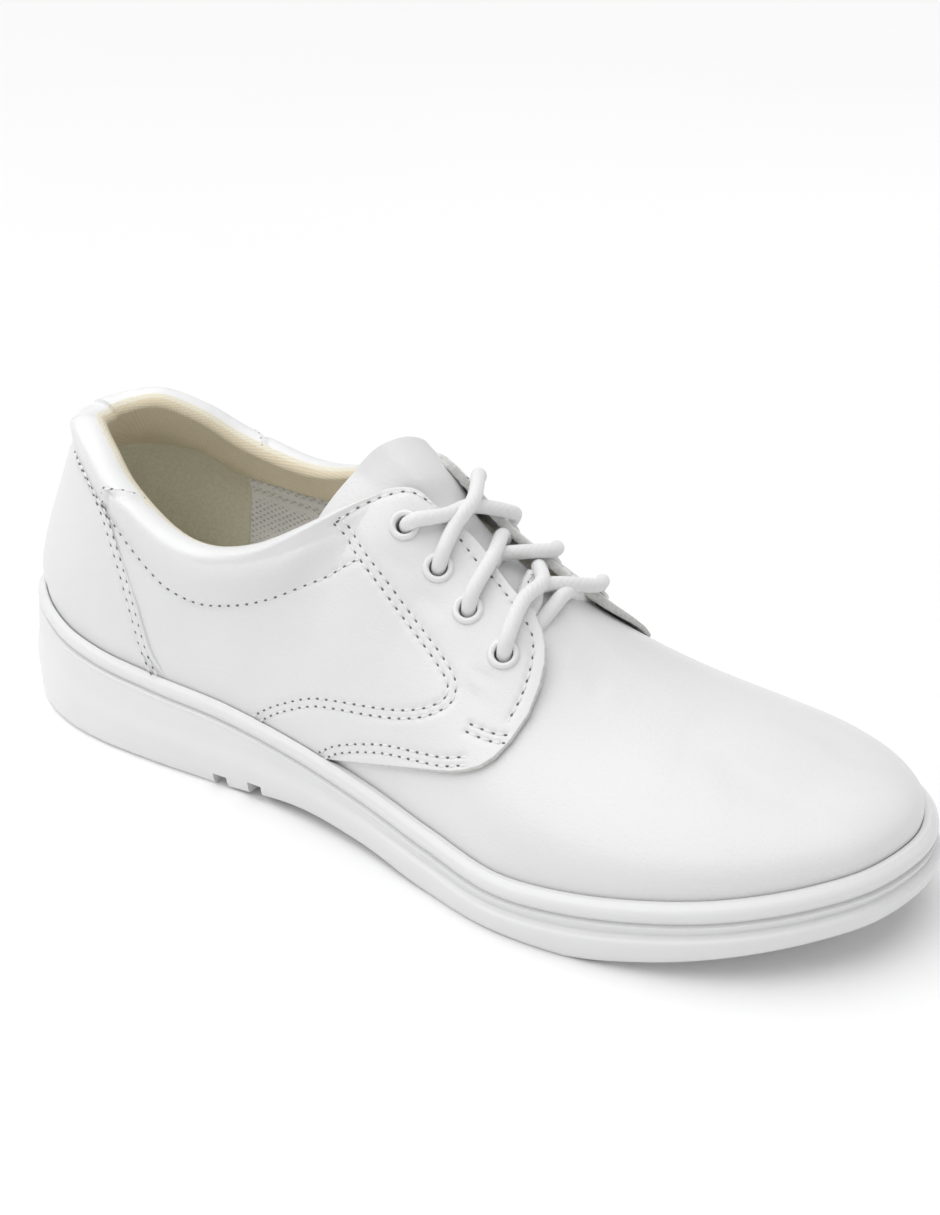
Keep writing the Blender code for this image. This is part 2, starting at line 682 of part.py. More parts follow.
def quarter_grid(rows, inner):
    """Places (s, v) of a quarter, from its free front edge back to the counter and from the sole up."""
    ring = ring_of_stations()
    front, back = FLAP["along"][:QUARTER_FRONT_ROWS], HEEL_PIECE["along"][-1] - SEAM
    heel = HEEL_PIECE["along"][0] - SEAM
    middle = ring[(ring > front[-1] + 4 * SEAM) & (ring < back - 2 * SEAM)]
    along = np.sort(np.concatenate([front, [heel], middle, [back]]))
    s = mirrored(along, inner)
    low = np.maximum(np.interp(along, FLAP["along"], FLAP["low"]), low_edge(s))
    behind = along > heel
    low = np.where(behind, counter_edge(mirrored(along + SEAM, inner)), low)
    high = np.minimum(np.interp(along, FLAP["along"], FLAP["high"]), edge(s))
    low[-1] = high[-1] = edge(s[-1])
    return columns_between(s, low, high, rows)


def quarter(name, inner, material, collection):
    """The side piece that carries the eyelets: its free edge lies on the vamp."""
    s, v = quarter_grid(9, inner)
    points, faces = slab(skin(s, v, 0 * v + LAY + OVERLAY), skin(s, v, 0 * v + LAY))
    return solid(name, points, faces, material, collection)


def counter_grid(rows):
    """Places (s, v) of the heel counter, from the outer side round the heel to the inner side."""
    ring = ring_of_stations()
    ends = HEEL_PIECE["along"][[0, -1]]
    s = np.concatenate([ends, 2 - ends, ring[(ring > ends[0] + SEAM) & (ring < 2 - ends[0] - SEAM)]])
    s = np.sort(s)
    return columns_between(s, low_edge(s), np.minimum(counter_edge(s), edge(s)), rows)


def counter(material, collection):
    """The heel counter, which wraps the back from one quarter to the other."""
    s, v = counter_grid(9)
    points, faces = slab(skin(s, v, 0 * v + LAY + OVERLAY), skin(s, v, 0 * v + LAY))
    return solid("heel_counter", points, faces, material, collection)


def eyelet_frame(place, inner):
    """The matrix that stands an eyelet on the quarter: its axis is the last's normal there."""
    s, v = mirrored(place[0], inner), place[1]
    normal = Vector(last_normal(s, v))
    point = Vector(skin(s, v, np.array(LAY + OVERLAY)))
    turn = normal.to_track_quat("Z", "Y").to_matrix().to_4x4()
    return Matrix.Translation(point) @ turn


def turned(name, profile, steps, material, collection):
    """A closed profile turned round Z by a Screw modifier."""
    mesh = bpy.data.meshes.new(name)
    count = len(profile)
    mesh.from_pydata([(r, 0, z) for r, z in profile], [(i, (i + 1) % count) for i in range(count)], [])
    obj = new_object(name, mesh, material, collection)
    screw = obj.modifiers.new("turn", "SCREW")
    screw.steps = screw.render_steps = steps
    screw.use_merge_vertices = True
    screw.merge_threshold = 0.00001
    screw.use_normal_calculate = True
    return obj


def eyelet(name, frame, material, collection):
    hole, rim = EYELET_HOLE / 2, EYELET_FLANGE / 2
    shank = hole + EYELET_SHELL
    deep = -(OVERLAY + GAP + WALL) - 0.2 * MM
    profile = (
        (hole, GAP + EYELET_CROWN * 0.5), (hole + 0.45 * (rim - hole), GAP + EYELET_CROWN),
        (rim, GAP + EYELET_CROWN * 0.4), (rim, GAP), (shank, GAP), (shank, deep), (hole, deep),
    )
    obj = turned(name, profile, 10, material, collection)
    obj.matrix_world = frame
    return obj


def eyelet_holes(name, frames, collection):
    """One cutter with a round bar through each eyelet's place."""
    work = bmesh.new()
    radius = EYELET_HOLE / 2 + EYELET_SHELL + GAP
    for frame in frames:
        bmesh.ops.create_cone(
            work, cap_ends=True, segments=10, radius1=radius, radius2=radius,
            depth=4 * (WALL + OVERLAY), matrix=frame @ Matrix.Translation((0, 0, -WALL)),
        )
    mesh = bpy.data.meshes.new(name)
    work.to_mesh(mesh)
    work.free()
    return new_object(name, mesh, None, collection)


def lace_point(s, v, side, height):
    return over_the_instep(np.array([s]), np.array([v]), np.array([float(side)]), np.array([height]))[0]


def strand_route(low, high, from_inner, bed, lift, tucked):
    """A strand from beside one eyelet, over the flap's edge and the middle, towards the other side.

    low and high are the eyelets' places, bed is the height of what it lies on, lift says how high over
    that it passes the middle, and a tucked strand ends beside the other flap, which it goes under.
    """
    over = LAY + OVERLAY + 3 * GAP + LACE / 2
    lying = bed + GAP + LACE / 2
    here = 1 if from_inner else -1
    middle_s = (low[0] + high[0]) / 2
    start_s, end_s = low[0] + 0.010, high[0] - 0.004
    gate = edge(mirrored(start_s, from_inner))
    far_gate = edge(mirrored(end_s, not from_inner))
    route = [
        lace_point(start_s, low[1] + 0.085, here, over),
        lace_point(start_s + 0.008, gate, here, over),
        lace_point(middle_s, 1.0, 0, lying + lift + (0 if tucked else 0.6 * LACE)),
    ]
    if tucked:
        clear = (LACE / 2 + 4 * GAP) / 0.08
        route.append(lace_point(end_s - 0.006, min(far_gate + clear, 0.97), -here, lying + 0.4 * MM))
    else:
        route.append(lace_point(end_s - 0.008, far_gate, -here, over + GAP))
        route.append(lace_point(end_s, high[1] + 0.085, -here, over))
    return np.array(route)


def tube(name, route, material, collection):
    """A lace strand: a smooth curve through its route with a round section, made a closed mesh."""
    count = 3 * (len(route) - 1) + 1
    points = spline(route, np.linspace(0, 1, count))
    curve = bpy.data.curves.new(name, "CURVE")
    curve.dimensions = "3D"
    curve.bevel_depth = LACE / 2
    curve.bevel_resolution = 2
    curve.use_fill_caps = True
    line = curve.splines.new("POLY")
    line.points.add(count - 1)
    for point, place in zip(line.points, points):
        point.co = (*place, 1)
    guide = bpy.data.objects.new(name + "_guide", curve)
    collection.objects.link(guide)
    graph = bpy.context.evaluated_depsgraph_get()
    mesh = bpy.data.meshes.new_from_object(guide.evaluated_get(graph))
    place = guide.matrix_world.copy()
    bpy.data.objects.remove(guide)
    work = bmesh.new()
    work.from_mesh(mesh)
    bmesh.ops.remove_doubles(work, verts=work.verts, dist=1e-5)
    bmesh.ops.recalc_face_normals(work, faces=work.faces)
    work.to_mesh(mesh)
    work.free()
    mesh.name = name
    mesh.shade_smooth()
    obj = new_object(name, mesh, material, collection)
    obj.matrix_world = place
    return obj


def crossing(name, low, high, bed, tucked, material, collection, cutters):
    """Two strands that cross over the middle, joined where they lie on each other."""
    under = tube(name, strand_route(low, high, True, bed, 0, tucked), material, collection)
    above = tube(name + "_strand", strand_route(low, high, False, bed, 0.8 * LACE, tucked), None, cutters)
    cut(under, above, "join", "UNION")
    return under


def bar(name, place, material, collection):
    """The lowest bar, which lies on the vamp from flap to flap."""
    clear = (LACE / 2 + 4 * GAP) / 0.08
    height = GAP + LACE / 2
    s = place[0] - 0.01
    route = []
    for side in (-1, -0.5, 0, 0.5, 1):
        gate = edge(mirrored(s, side > 0)) + clear
        route.append(lace_point(s, 1 - abs(side) * (1 - gate), side, height))
    return tube(name, np.array(route), material, collection)


def clear_scene():
    for obj in list(bpy.data.objects):
        bpy.data.objects.remove(obj)


def new_collection(name):
    collection = bpy.data.collections.new(name)
    bpy.context.scene.collection.children.link(collection)
    return collection


def main():
    clear_scene()
    shoe = new_collection("lace_up_shoe")
    cutters = new_collection("cutters")

    leather = material_of("white_leather", (0.80, 0.82, 0.86), 0.42)
    moulded = material_of("white_moulded_sole", (0.86, 0.86, 0.87), 0.35)
    footbed = material_of("cream_footbed", (0.60, 0.59, 0.50), 0.75)
    enamel = material_of("white_enamel", (0.85, 0.86, 0.88), 0.3, 0.0)
    cord = material_of("white_lace", (0.82, 0.83, 0.86), 0.8)

    outsole(moulded, shoe, cutters)
    insole(footbed, shoe)
    vamp = upper(leather, shoe)
    tongue(leather, shoe)
    sides = [quarter("quarter_outer", False, leather, shoe), quarter("quarter_inner", True, leather, shoe)]
    counter(leather, shoe)

    for side, name, inner in zip(sides, ("outer", "inner"), (False, True)):
        frames = [eyelet_frame(place, inner) for place in EYELETS]
        holes = eyelet_holes("eyelet_holes_" + name, frames, cutters)
        cut(side, holes, "eyelet holes")
        cut(vamp, holes, "eyelet holes " + name)
        for number, frame in enumerate(frames, 1):
            eyelet(f"eyelet_{name}_{number}", frame, enamel, shoe)

    tongue_bed, vamp_bed = -TONGUE_DEPTH, 0.0
    crossing("lace_top_crossing", EYELETS[1], EYELETS[0], tongue_bed, False, cord, shoe, cutters)
    crossing("lace_middle_crossing", EYELETS[2], EYELETS[1], tongue_bed, True, cord, shoe, cutters)
    crossing("lace_low_crossing", EYELETS[3], EYELETS[2], vamp_bed, True, cord, shoe, cutters)
    bar("lace_bar", EYELETS[3], cord, shoe)

    for helper in cutters.objects:
        helper.hide_render = True
        helper.display_type = "WIRE"


main()
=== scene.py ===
import math

import bmesh
import bpy
import numpy as np
from mathutils import Matrix, Vector


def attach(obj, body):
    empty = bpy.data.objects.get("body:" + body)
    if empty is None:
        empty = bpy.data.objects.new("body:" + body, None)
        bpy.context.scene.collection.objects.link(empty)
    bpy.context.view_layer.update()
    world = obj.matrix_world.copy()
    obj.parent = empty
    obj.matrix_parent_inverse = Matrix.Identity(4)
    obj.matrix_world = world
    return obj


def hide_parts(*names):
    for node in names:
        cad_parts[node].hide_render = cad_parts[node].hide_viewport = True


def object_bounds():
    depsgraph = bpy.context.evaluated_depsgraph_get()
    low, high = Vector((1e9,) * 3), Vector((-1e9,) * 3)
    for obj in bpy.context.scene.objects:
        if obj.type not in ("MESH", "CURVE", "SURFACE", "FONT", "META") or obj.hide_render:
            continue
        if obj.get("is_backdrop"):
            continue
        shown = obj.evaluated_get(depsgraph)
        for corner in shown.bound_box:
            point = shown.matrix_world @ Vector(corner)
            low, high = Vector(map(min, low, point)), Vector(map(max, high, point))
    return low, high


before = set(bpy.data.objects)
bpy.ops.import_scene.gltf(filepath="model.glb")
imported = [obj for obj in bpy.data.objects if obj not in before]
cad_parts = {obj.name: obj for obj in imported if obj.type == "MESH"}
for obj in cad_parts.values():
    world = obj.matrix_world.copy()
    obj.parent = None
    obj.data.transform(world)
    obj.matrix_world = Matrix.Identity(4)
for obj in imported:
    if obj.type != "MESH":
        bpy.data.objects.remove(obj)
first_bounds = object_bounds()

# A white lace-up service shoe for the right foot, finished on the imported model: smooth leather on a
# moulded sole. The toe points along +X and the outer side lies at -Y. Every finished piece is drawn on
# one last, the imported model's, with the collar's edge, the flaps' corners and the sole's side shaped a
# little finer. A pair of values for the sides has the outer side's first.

MM = 0.001

UPPER_LENGTH = 280 * MM
BALL_WIDTH = 103 * MM
HEEL_WIDTH = 69 * MM
INSTEP_HEIGHT = 104 * MM
HEEL_LINE = 32 * MM
BALL_LINE = 14 * MM
TOE_LIFT_OF_LINE = 10.5 * MM
HEEL_CENTRE = 42 * MM

WALL = 2.0 * MM
PADDING = 3.4 * MM
SEAT_DEPTH = 7 * MM
GAP = 0.3 * MM
OVERLAY = 1.4 * MM
LAY = 0.48 * MM
FACE = LAY + OVERLAY
INSOLE = 3.5 * MM

BEAD = 4.2 * MM
LEDGE_DROP = 5.6 * MM
ARCH_LIFT = 4 * MM
TOE_LIFT = 12 * MM
HEEL_BEVEL = 6 * MM

GROOVE_WIDTH = 5 * MM
GROOVE_DEPTH = 1.6 * MM
GROOVE_INSET = 9 * MM

TONGUE_DEPTH = 3.0 * MM
TONGUE_TOP_DEPTH = 0.0 * MM
TONGUE_THICK = 5.0 * MM
TONGUE_EDGE = 1.0 * MM
TONGUE_RISE = 14 * MM
TONGUE_UNDERLAP = 0.17
TONGUE_ROUND = 0.2

EYELET_HOLE = 4.8 * MM
EYELET_FLANGE = 8.2 * MM
EYELET_SHELL = 0.45 * MM
EYELET_CROWN = 1.1 * MM
LACE = 4.0 * MM
TOE_SOFT = 22 * MM
VAMP_THICK = 1.5 * MM
GRID_STEP = 0.8 * MM
LACE_STEP = 0.6 * MM
TOE_AHEAD = (5 * MM, 0.0, 0.0)

# A row for each profile of the last, from the toe (along 0) to the back of the heel (along 1).
# reach: the foot line's place, a share of UPPER_LENGTH from the back of the heel.
# outer, inner: half widths there, shares of BALL_WIDTH where ball is 1 and of HEEL_WIDTH where it is 0.
# rise: the foot line's height from BALL_LINE to HEEL_LINE; spring: its lift, a share of TOE_LIFT_OF_LINE.
# top_x, top_out, top_in, top_z: the profile's upper end, shares of UPPER_LENGTH, HEEL_WIDTH and
# INSTEP_HEIGHT. lean, low: the lower handle's outward lean in degrees and its length as a share of the
# chord; tilt, high: the same for the upper handle, measured down from level.
# edge, edge_in: how far up the profile the leather reaches, on the outer and the inner side.
# padding: how much of PADDING the collar has.
SECTION_COLUMNS = (
    "along", "reach", "outer", "inner", "ball", "rise", "spring", "top_x", "top_out", "top_in", "top_z",
    "lean", "low", "tilt", "high", "edge", "edge_in", "padding",
)
SECTIONS = (
    (0.000, 1.000, -.02, .020, 1.0, .00, 1.00, .850, .00, .00, .372, 16, .30, 1, .31, 1.0, 1.0, 0.0),
    (0.050, 0.985, .160, .175, 1.0, .00, .95, .846, .00, .00, .374, 16, .30, 1, .31, 1.0, 1.0, 0.0),
    (0.100, 0.950, .290, .300, 1.0, .00, .80, .838, .00, .00, .380, 16, .30, 1, .31, 1.0, 1.0, 0.0),
    (0.155, 0.900, .400, .395, 1.0, .00, .60, .820, .00, .00, .394, 16, .30, 1, .31, 1.0, 1.0, 0.0),
    (0.215, 0.840, .470, .455, 1.0, .00, .36, .788, .00, .00, .418, 15, .30, 1, .31, 1.0, 1.0, 0.0),
    (0.275, 0.770, .510, .485, 1.0, .00, .13, .740, .00, .00, .464, 14, .30, 2, .31, .98, .98, 0.0),
    (0.335, 0.700, .513, .480, 1.0, .00, .00, .690, .00, .00, .535, 13, .30, 5, .31, .86, .86, 0.0),
    (0.405, 0.620, .480, .425, 0.9, .11, .00, .630, .00, .00, .645, 12, .30, 10, .31, .85, .87, 0.0),
    (0.490, 0.530, .440, .345, 0.7, .24, .00, .565, .00, .00, .780, 10, .30, 18, .30, .905, .905, 0.0),
    (0.570, 0.440, .440, .330, 0.4, .41, .00, .500, .00, .00, .930, 10, .30, 30, .30, .815, .890, 0.0),
    (0.655, 0.340, .465, .385, 0.1, .58, .00, .410, .33, .32, 1.000, 9, .30, 60, .30, .590, .66, 1.0),
    (0.745, 0.240, .485, .450, 0.0, .70, .00, .300, .39, .38, 1.000, 7, .30, 80, .30, .565, .605, 1.0),
    (0.810, 0.165, .470, .455, 0.0, .81, .00, .210, .37, .36, 1.000, 4, .30, 85, .30, .690, .665, 1.0),
    (0.865, 0.107, .420, .412, 0.0, .95, .00, .157, .30, .295, 1.000, 1, .30, 88, .30, .780, .765, 1.0),
    (0.915, 0.057, .320, .312, 0.0, 1.13, .00, .117, .215, .21, 1.000, -2, .30, 90, .30, .82, .82, 1.0),
    (0.955, 0.027, .205, .205, 0.0, 1.25, .00, .095, .125, .125, 1.000, -4, .30, 90, .30, .81, .81, 1.0),
    (1.000, 0.008, .000, .000, 0.0, 1.32, .00, .086, .00, .00, 1.000, -5, .30, 90, .30, .80, .80, 1.0),
)

# The sole's underside along the same stations, shares of ARCH_LIFT, TOE_LIFT and HEEL_BEVEL.
GROUND_COLUMNS = ("along", "arch", "toe", "bevel")
GROUND = (
    (0.000, 0.00, 1.00, 0.00),
    (0.050, 0.00, 0.94, 0.00),
    (0.100, 0.00, 0.80, 0.00),
    (0.155, 0.00, 0.57, 0.00),
    (0.215, 0.00, 0.27, 0.00),
    (0.275, 0.00, 0.00, 0.00),
    (0.335, 0.00, 0.00, 0.00),
    (0.405, 0.06, 0.00, 0.00),
    (0.490, 0.55, 0.00, 0.00),
    (0.570, 0.80, 0.00, 0.00),
    (0.655, 0.06, 0.00, 0.00),
    (0.745, 0.00, 0.00, 0.00),
    (0.810, 0.00, 0.00, 0.00),
    (0.865, 0.00, 0.00, 0.00),
    (0.915, 0.00, 0.00, 0.00),
    (0.955, 0.00, 0.00, 0.40),
    (1.000, 0.00, 0.00, 1.00),
)

# The sole's side from its lip down to the ground. Rows of part 0 lie level * LEDGE_DROP under the foot
# line; rows of part 1 lie that share of the way from the ledge to the ground, at the heel and the ball.
# heel, waist, ball: how far out of the foot line the row stands, a share of BEAD.
LIP = 0.13
SIDE_COLUMNS = ("part", "level_heel", "level_ball", "heel", "waist", "ball")
SIDE = (
    (0, -LIP, -LIP, 0.50, 0.50, 0.50),
    (0, 0.08, 0.08, 0.84, 0.84, 0.84),
    (0, 0.34, 0.34, 1.00, 1.00, 1.00),
    (0, 0.62, 0.62, 0.88, 0.86, 0.84),
    (0, 0.80, 0.80, 0.72, 0.68, 0.66),
    (0, 0.86, 0.86, 1.02, 0.95, 0.93),
    (1, 0.03, 0.03, 1.04, 0.92, 0.88),
    (1, 0.30, 0.19, 1.22, 0.88, 0.78),
    (1, 0.50, 0.28, 1.46, 1.08, 1.14),
    (1, 0.66, 0.42, 1.48, 1.15, 1.28),
    (1, 0.86, 0.74, 1.42, 1.10, 1.20),
    (1, 0.96, 0.93, 1.28, 1.00, 1.04),
    (1, 1.00, 1.00, 1.10, 0.90, 0.86),
)

# The tread's grooves: their place, a share of UPPER_LENGTH from the back of the heel, and whether they
# run out through the sole's side.
GROOVES = (
    (0.075, 0),
    (0.125, 0),
    (0.175, 0),
    (0.335, 1),
    (0.381, 1),
    (0.625, 0),
    (0.675, 0),
    (0.725, 0),
    (0.775, 0),
    (0.825, 0),
)

# The quarter's lower and upper outline at places along the last, as shares of the way up.
QUARTER_COLUMNS = ("along", "low", "high")
QUARTER = (
    (0.3500, 0.550, 0.550),
    (0.3535, 0.440, 0.650),
    (0.3600, 0.365, 0.722),
    (0.3680, 0.318, 0.772),
    (0.3780, 0.284, 0.810),
    (0.3900, 0.253, 0.837),
    (0.4030, 0.230, 1.000),
    (0.4450, 0.165, 1.000),
    (0.4950, 0.085, 1.000),
    (0.5450, 0.000, 1.000),
)

# The heel counter's front edge: how far up the profile it lies at places along the last.
COUNTER_COLUMNS = ("along", "up")
COUNTER = (
    (0.725, 0.00),
    (0.743, 0.11),
    (0.760, 0.25),
    (0.780, 0.38),
    (0.805, 0.51),
    (0.832, 0.60),
    (0.870, 0.66),
    (0.910, 0.73),
    (0.945, 0.82),
)

# The eyelets of one side as (along, up), from the top pair down.
EYELETS = ((0.533, 0.785), (0.489, 0.760), (0.443, 0.715), (0.393, 0.665))

LINING = 0.9 * MM
LINING_THICK = 1.0 * MM
BELOW = -0.6
FLAP_LIFT = (2.8 * MM, 1.9 * MM)
FLAP_LINING = 1.0 * MM
CUT_FROM = 0.15
PUFF = 2.5 * MM
COUNTER_STEP = 0.9 * MM
# How far over the collar's rim the leather goes, where 1 is the rim's inner side.
LEATHER_END = 0.63
NEAR = 6 * MM
LINE_STEP = 1.2 * MM

STITCH = 3.2 * MM
STITCH_LONG = 2.2 * MM
THREAD = 0.74 * MM
# The dark bodies painted as shade in the needle holes: their length, width and height.
HOLE_SHADE_SIZE = (1.15 * MM, 0.62 * MM, 0.34 * MM)
DOUBLE_ROW = 2.1 * MM
STITCH_DENT = 0.38 * MM
DENT_WIDTH = 1.0 * MM
PUCKER = 0.25

# Stitch rows of the sides: name, places as (along, up), and whether the row is doubled.
QUARTER_ROWS = (
    ("facing", (
        (0.590, 0.705), (0.568, 0.660), (0.548, 0.635), (0.520, 0.610), (0.495, 0.585), (0.465, 0.555),
        (0.443, 0.530), (0.425, 0.500), (0.419, 0.465), (0.420, 0.425), (0.435, 0.365), (0.460, 0.310),
        (0.493, 0.260), (0.525, 0.215), (0.553, 0.175), (0.576, 0.130), (0.600, 0.075), (0.620, 0.015),
    ), True),
    ("lower edge", (
        (0.545, 0.012), (0.525, 0.070), (0.495, 0.133), (0.465, 0.183), (0.430, 0.225), (0.403, 0.258),
        (0.383, 0.300),
    ), True),
    ("bar tack", ((0.390, 0.400), (0.378, 0.408), (0.366, 0.420), (0.358, 0.435)), True),
    ("collar", (
        (0.823, 0.555), (0.805, 0.530), (0.780, 0.465), (0.753, 0.400), (0.728, 0.362), (0.690, 0.348),
        (0.652, 0.380), (0.620, 0.430), (0.596, 0.485), (0.573, 0.545), (0.553, 0.625),
    ), False),
    ("front edge", (
        (0.530, 0.885), (0.508, 0.880), (0.488, 0.873), (0.468, 0.860), (0.435, 0.845), (0.413, 0.822),
        (0.393, 0.800), (0.379, 0.765), (0.368, 0.690), (0.362, 0.590), (0.362, 0.495),
    ), False),
    ("facing top", (
        (0.590, 0.705), (0.585, 0.735), (0.577, 0.775), (0.566, 0.805), (0.557, 0.840), (0.548, 0.868),
        (0.530, 0.885),
    ), False),
)
COUNTER_ROW = (
    (0.895, 0.690), (0.875, 0.675), (0.853, 0.645), (0.832, 0.595), (0.815, 0.545), (0.797, 0.455),
    (0.779, 0.340), (0.761, 0.200), (0.750, 0.095), (0.741, 0.022),
)

# The seam between the collar's front and heel pieces, up to the rim and then on over it.
HEEL_SEAM = ((0.824, 0.548), (0.818, 0.590), (0.811, 0.625), (0.806, 1.000))
HEEL_ROW_BACK = 0.0085

# The collar's stitch row and, behind it, the counter's edge: the padding starts there.
BASE_COLUMNS = ("along", "up")
COLLAR_BASE_ROWS = (
    (0.553, 0.640), (0.573, 0.560), (0.596, 0.500), (0.620, 0.445), (0.652, 0.395), (0.690, 0.363),
    (0.728, 0.377), (0.753, 0.415), (0.780, 0.480), (0.805, 0.550), (0.823, 0.580), (0.860, 0.630),
    (0.910, 0.690), (0.950, 0.720), (1.000, 0.720),
)

# Creases of the sides: a line of (along, up), its depth (under 0 a ridge), its width.
FOLDS = (
    (((0.375, 0.560), (0.395, 0.570), (0.420, 0.560)), 0.30 * MM, 1.6 * MM),
    (((0.378, 0.520), (0.400, 0.532), (0.430, 0.580)), -0.22 * MM, 2.0 * MM),
    (((0.380, 0.470), (0.398, 0.500), (0.418, 0.520)), 0.25 * MM, 1.8 * MM),
    (((0.455, 0.640), (0.480, 0.665), (0.500, 0.665)), 0.30 * MM, 1.8 * MM),
    (((0.500, 0.660), (0.520, 0.690), (0.545, 0.700)), 0.35 * MM, 2.0 * MM),
    (((0.440, 0.580), (0.465, 0.610), (0.490, 0.625)), -0.22 * MM, 2.4 * MM),
)
VAMP_FOLDS = (
    (((0.300, 0.700), (0.312, 0.820), (0.318, 0.940)), 0.25 * MM, 3.0 * MM),
    (((0.340, 0.720), (0.345, 0.850), (0.348, 0.960)), -0.20 * MM, 3.0 * MM),
)

QUARTER_GRID_ROWS = 111
COUNTER_GRID_ROWS = 81
VAMP_GRID_ROWS = 71
RIDGE_GRID_ROWS = 14
LINING_ROWS = 61
RIM_ROWS = 7
COUNTER_LAP = 0.03
THROAT_AT = 0.426
THROAT_BEND = 0.014
TUCKED = 1.25 * MM
START = 0.2 * MM
HALF_FOOT_LINE = 0.36
PIPING_FROM = 0.71
# How far the rim rises, a share of half its thickness, at the lacing and at the collar.
RIM_RISE = (0.5, 0.62)
RIM_DROP = (0.036, 0.020)
CORNER_RISE = 0.026
SEAM_SLANT = 0.040
SEAM_DENT = 0.9 * MM
SEAM_WIDTH = 0.8 * MM
SOLE_STATIONS = 300
SOLE_STEPS = 5
# How many times deeper the grooves are that run out through the side.
NOTCH = 2.2
FOOTBED_HEEL = 5.0 * MM
FOOTBED_CUP = 7.5 * MM
UNDER_EYELET = (3.4 * MM, 3.4 * MM, 3.4 * MM, 2.0 * MM)

# Where the lace passes each side's flap edge, from the top pair down: over it and in under it.
LACE_OVER = ((0.513, 0.502, 0.455, 0.406), (0.526, 0.485, 0.430, 0.380))
LACE_UNDER = ((0.500, 0.456, 0.399), (0.500, 0.472, 0.427))
# Its crossings, from the top: along, up, side, and the heights of the strand under and the one over.
CROSSINGS = (
    (0.509, 0.975, -.25, 1.4 * MM, 4.3 * MM),
    (0.460, 0.93, -.40, -0.9 * MM, 2.6 * MM),
    (0.406, 0.94, -.35, 2.1 * MM, 5.2 * MM),
)
# The bar across the vamp, from the outer side: along, up, side and height.
BAR = (
    (0.385, 0.86, -1.0, 0.6 * MM),
    (0.385, 0.93, -1.0, 1.9 * MM),
    (0.3865, 1.0, 0.0, 2.2 * MM),
    (0.388, 0.93, 1.0, 1.9 * MM),
    (0.388, 0.86, 1.0, 0.4 * MM),
)
# The seam between vamp and tongue, up one side: along and up.
THROAT_ROW = ((0.409, 0.880), (0.413, 0.915), (0.417, 0.950), (0.420, 0.980), (0.4205, 1.0))

# The collar lining's lower edge.
LINING_LOW = (
    (0.575, 0.500), (0.640, 0.480), (0.700, 0.500), (0.775, 0.511), (0.815, 0.522), (0.850, 0.594),
    (0.880, 0.618), (1.000, 0.618),
)

WHITE = (0.79, 0.79, 0.795)
PALE_WHITE = (0.82, 0.82, 0.825)

FLOOR = 12.0
ROOM = 0.47
SKY = 1.85
SKY_ANGLE = 80
SKY_FROM = (-0.25, -0.10, 1.0)
# The soft lights: name, place, target, size, power in watts and spread in degrees.
LIGHTS = (
    ("key", (-0.55, -0.75, 0.95), (0.10, 0, 0.04), 0.9, 0.9, 180),
    ("side", (0.75, -0.55, 0.45), (0.15, 0, 0.04), 0.6, 0.2, 180),
    ("opening", (-0.03, -0.06, 0.42), (0.0, 0.01, 0.05), 0.12, 0.012, 35),
    ("back", (0.10, 0.85, 0.80), (0.10, 0, 0.05), 0.7, 0.3, 180),
)
CAMERA_ANGLES = (33.169, 24.295, -0.347)
CAMERA_PLACE = (0.3444, -0.3570, 0.2477)
CAMERA_LENS = 1731 / 1215 * 36


def table(columns, rows):
    return {name: np.array([row[i] for row in rows], float) for i, name in enumerate(columns)}


LAST = table(SECTION_COLUMNS, SECTIONS)
UNDER = table(GROUND_COLUMNS, GROUND)
RIBS = table(SIDE_COLUMNS, SIDE)
FLAP = table(QUARTER_COLUMNS, QUARTER)
HEEL_PIECE = table(COUNTER_COLUMNS, COUNTER)
COLLAR_BASE = table(BASE_COLUMNS, COLLAR_BASE_ROWS)
UP = np.array([0.0, 0.0, 1.0])


def in_scene(name, data):
    """A new object for the data, linked to the scene."""
    obj = bpy.data.objects.new(name, data)
    bpy.context.scene.collection.objects.link(obj)
    return obj


def unit(v):
    return v / np.maximum(np.linalg.norm(v, axis=-1, keepdims=True), 1e-12)


def smooth(x):
    x = np.clip(x, 0, 1)
    return x * x * (3 - 2 * x)


def between(a, b, slope_a, slope_b, h, t):
    """The smooth curve from a to b over a step h, read at the share t of it."""
    start = (1 + 2 * t) * (1 - t) ** 2 * a + t * (1 - t) ** 2 * h * slope_a
    end = t * t * (3 - 2 * t) * b + t * t * (t - 1) * h * slope_b
    return start + end


def run_along(points, power=1):
    """How far along a line each of its points lies."""
    return np.concatenate([[0.0], np.cumsum(np.linalg.norm(np.diff(points, axis=0), axis=-1) ** power)])


def points_at(want, run, points):
    """The line's points at the wanted runs."""
    return np.stack([np.interp(want, run, points[:, k]) for k in range(3)], -1)


def round_the_shoe(outer, inner, s):
    """A smooth closed curve through a table's columns: s is 0 at the toe, 1 at the heel and 2 at the toe."""
    along = LAST["along"]
    knots = np.concatenate([along, 2 - along[-2:0:-1]])
    values = np.concatenate([outer, inner[-2:0:-1]])
    knots = np.concatenate([knots[-2:] - 2, knots, knots[:3] + 2])
    values = np.concatenate([values[-2:], values, values[:3]])
    step = np.diff(knots)
    rate = np.diff(values) / step
    slope = np.zeros(len(knots))
    slope[1:-1] = (rate[:-1] * step[1:] + rate[1:] * step[:-1]) / (step[1:] + step[:-1])
    s = np.mod(np.asarray(s, float), 2.0)
    i = np.clip(np.searchsorted(knots, s, side="right") - 1, 1, len(knots) - 3)
    h = knots[i + 1] - knots[i]
    t = (s - knots[i]) / h
    return between(values[i], values[i + 1], slope[i], slope[i + 1], h, t)


def read(name, s, name_inside=None):
    return round_the_shoe(LAST[name], LAST[name_inside or name], s)


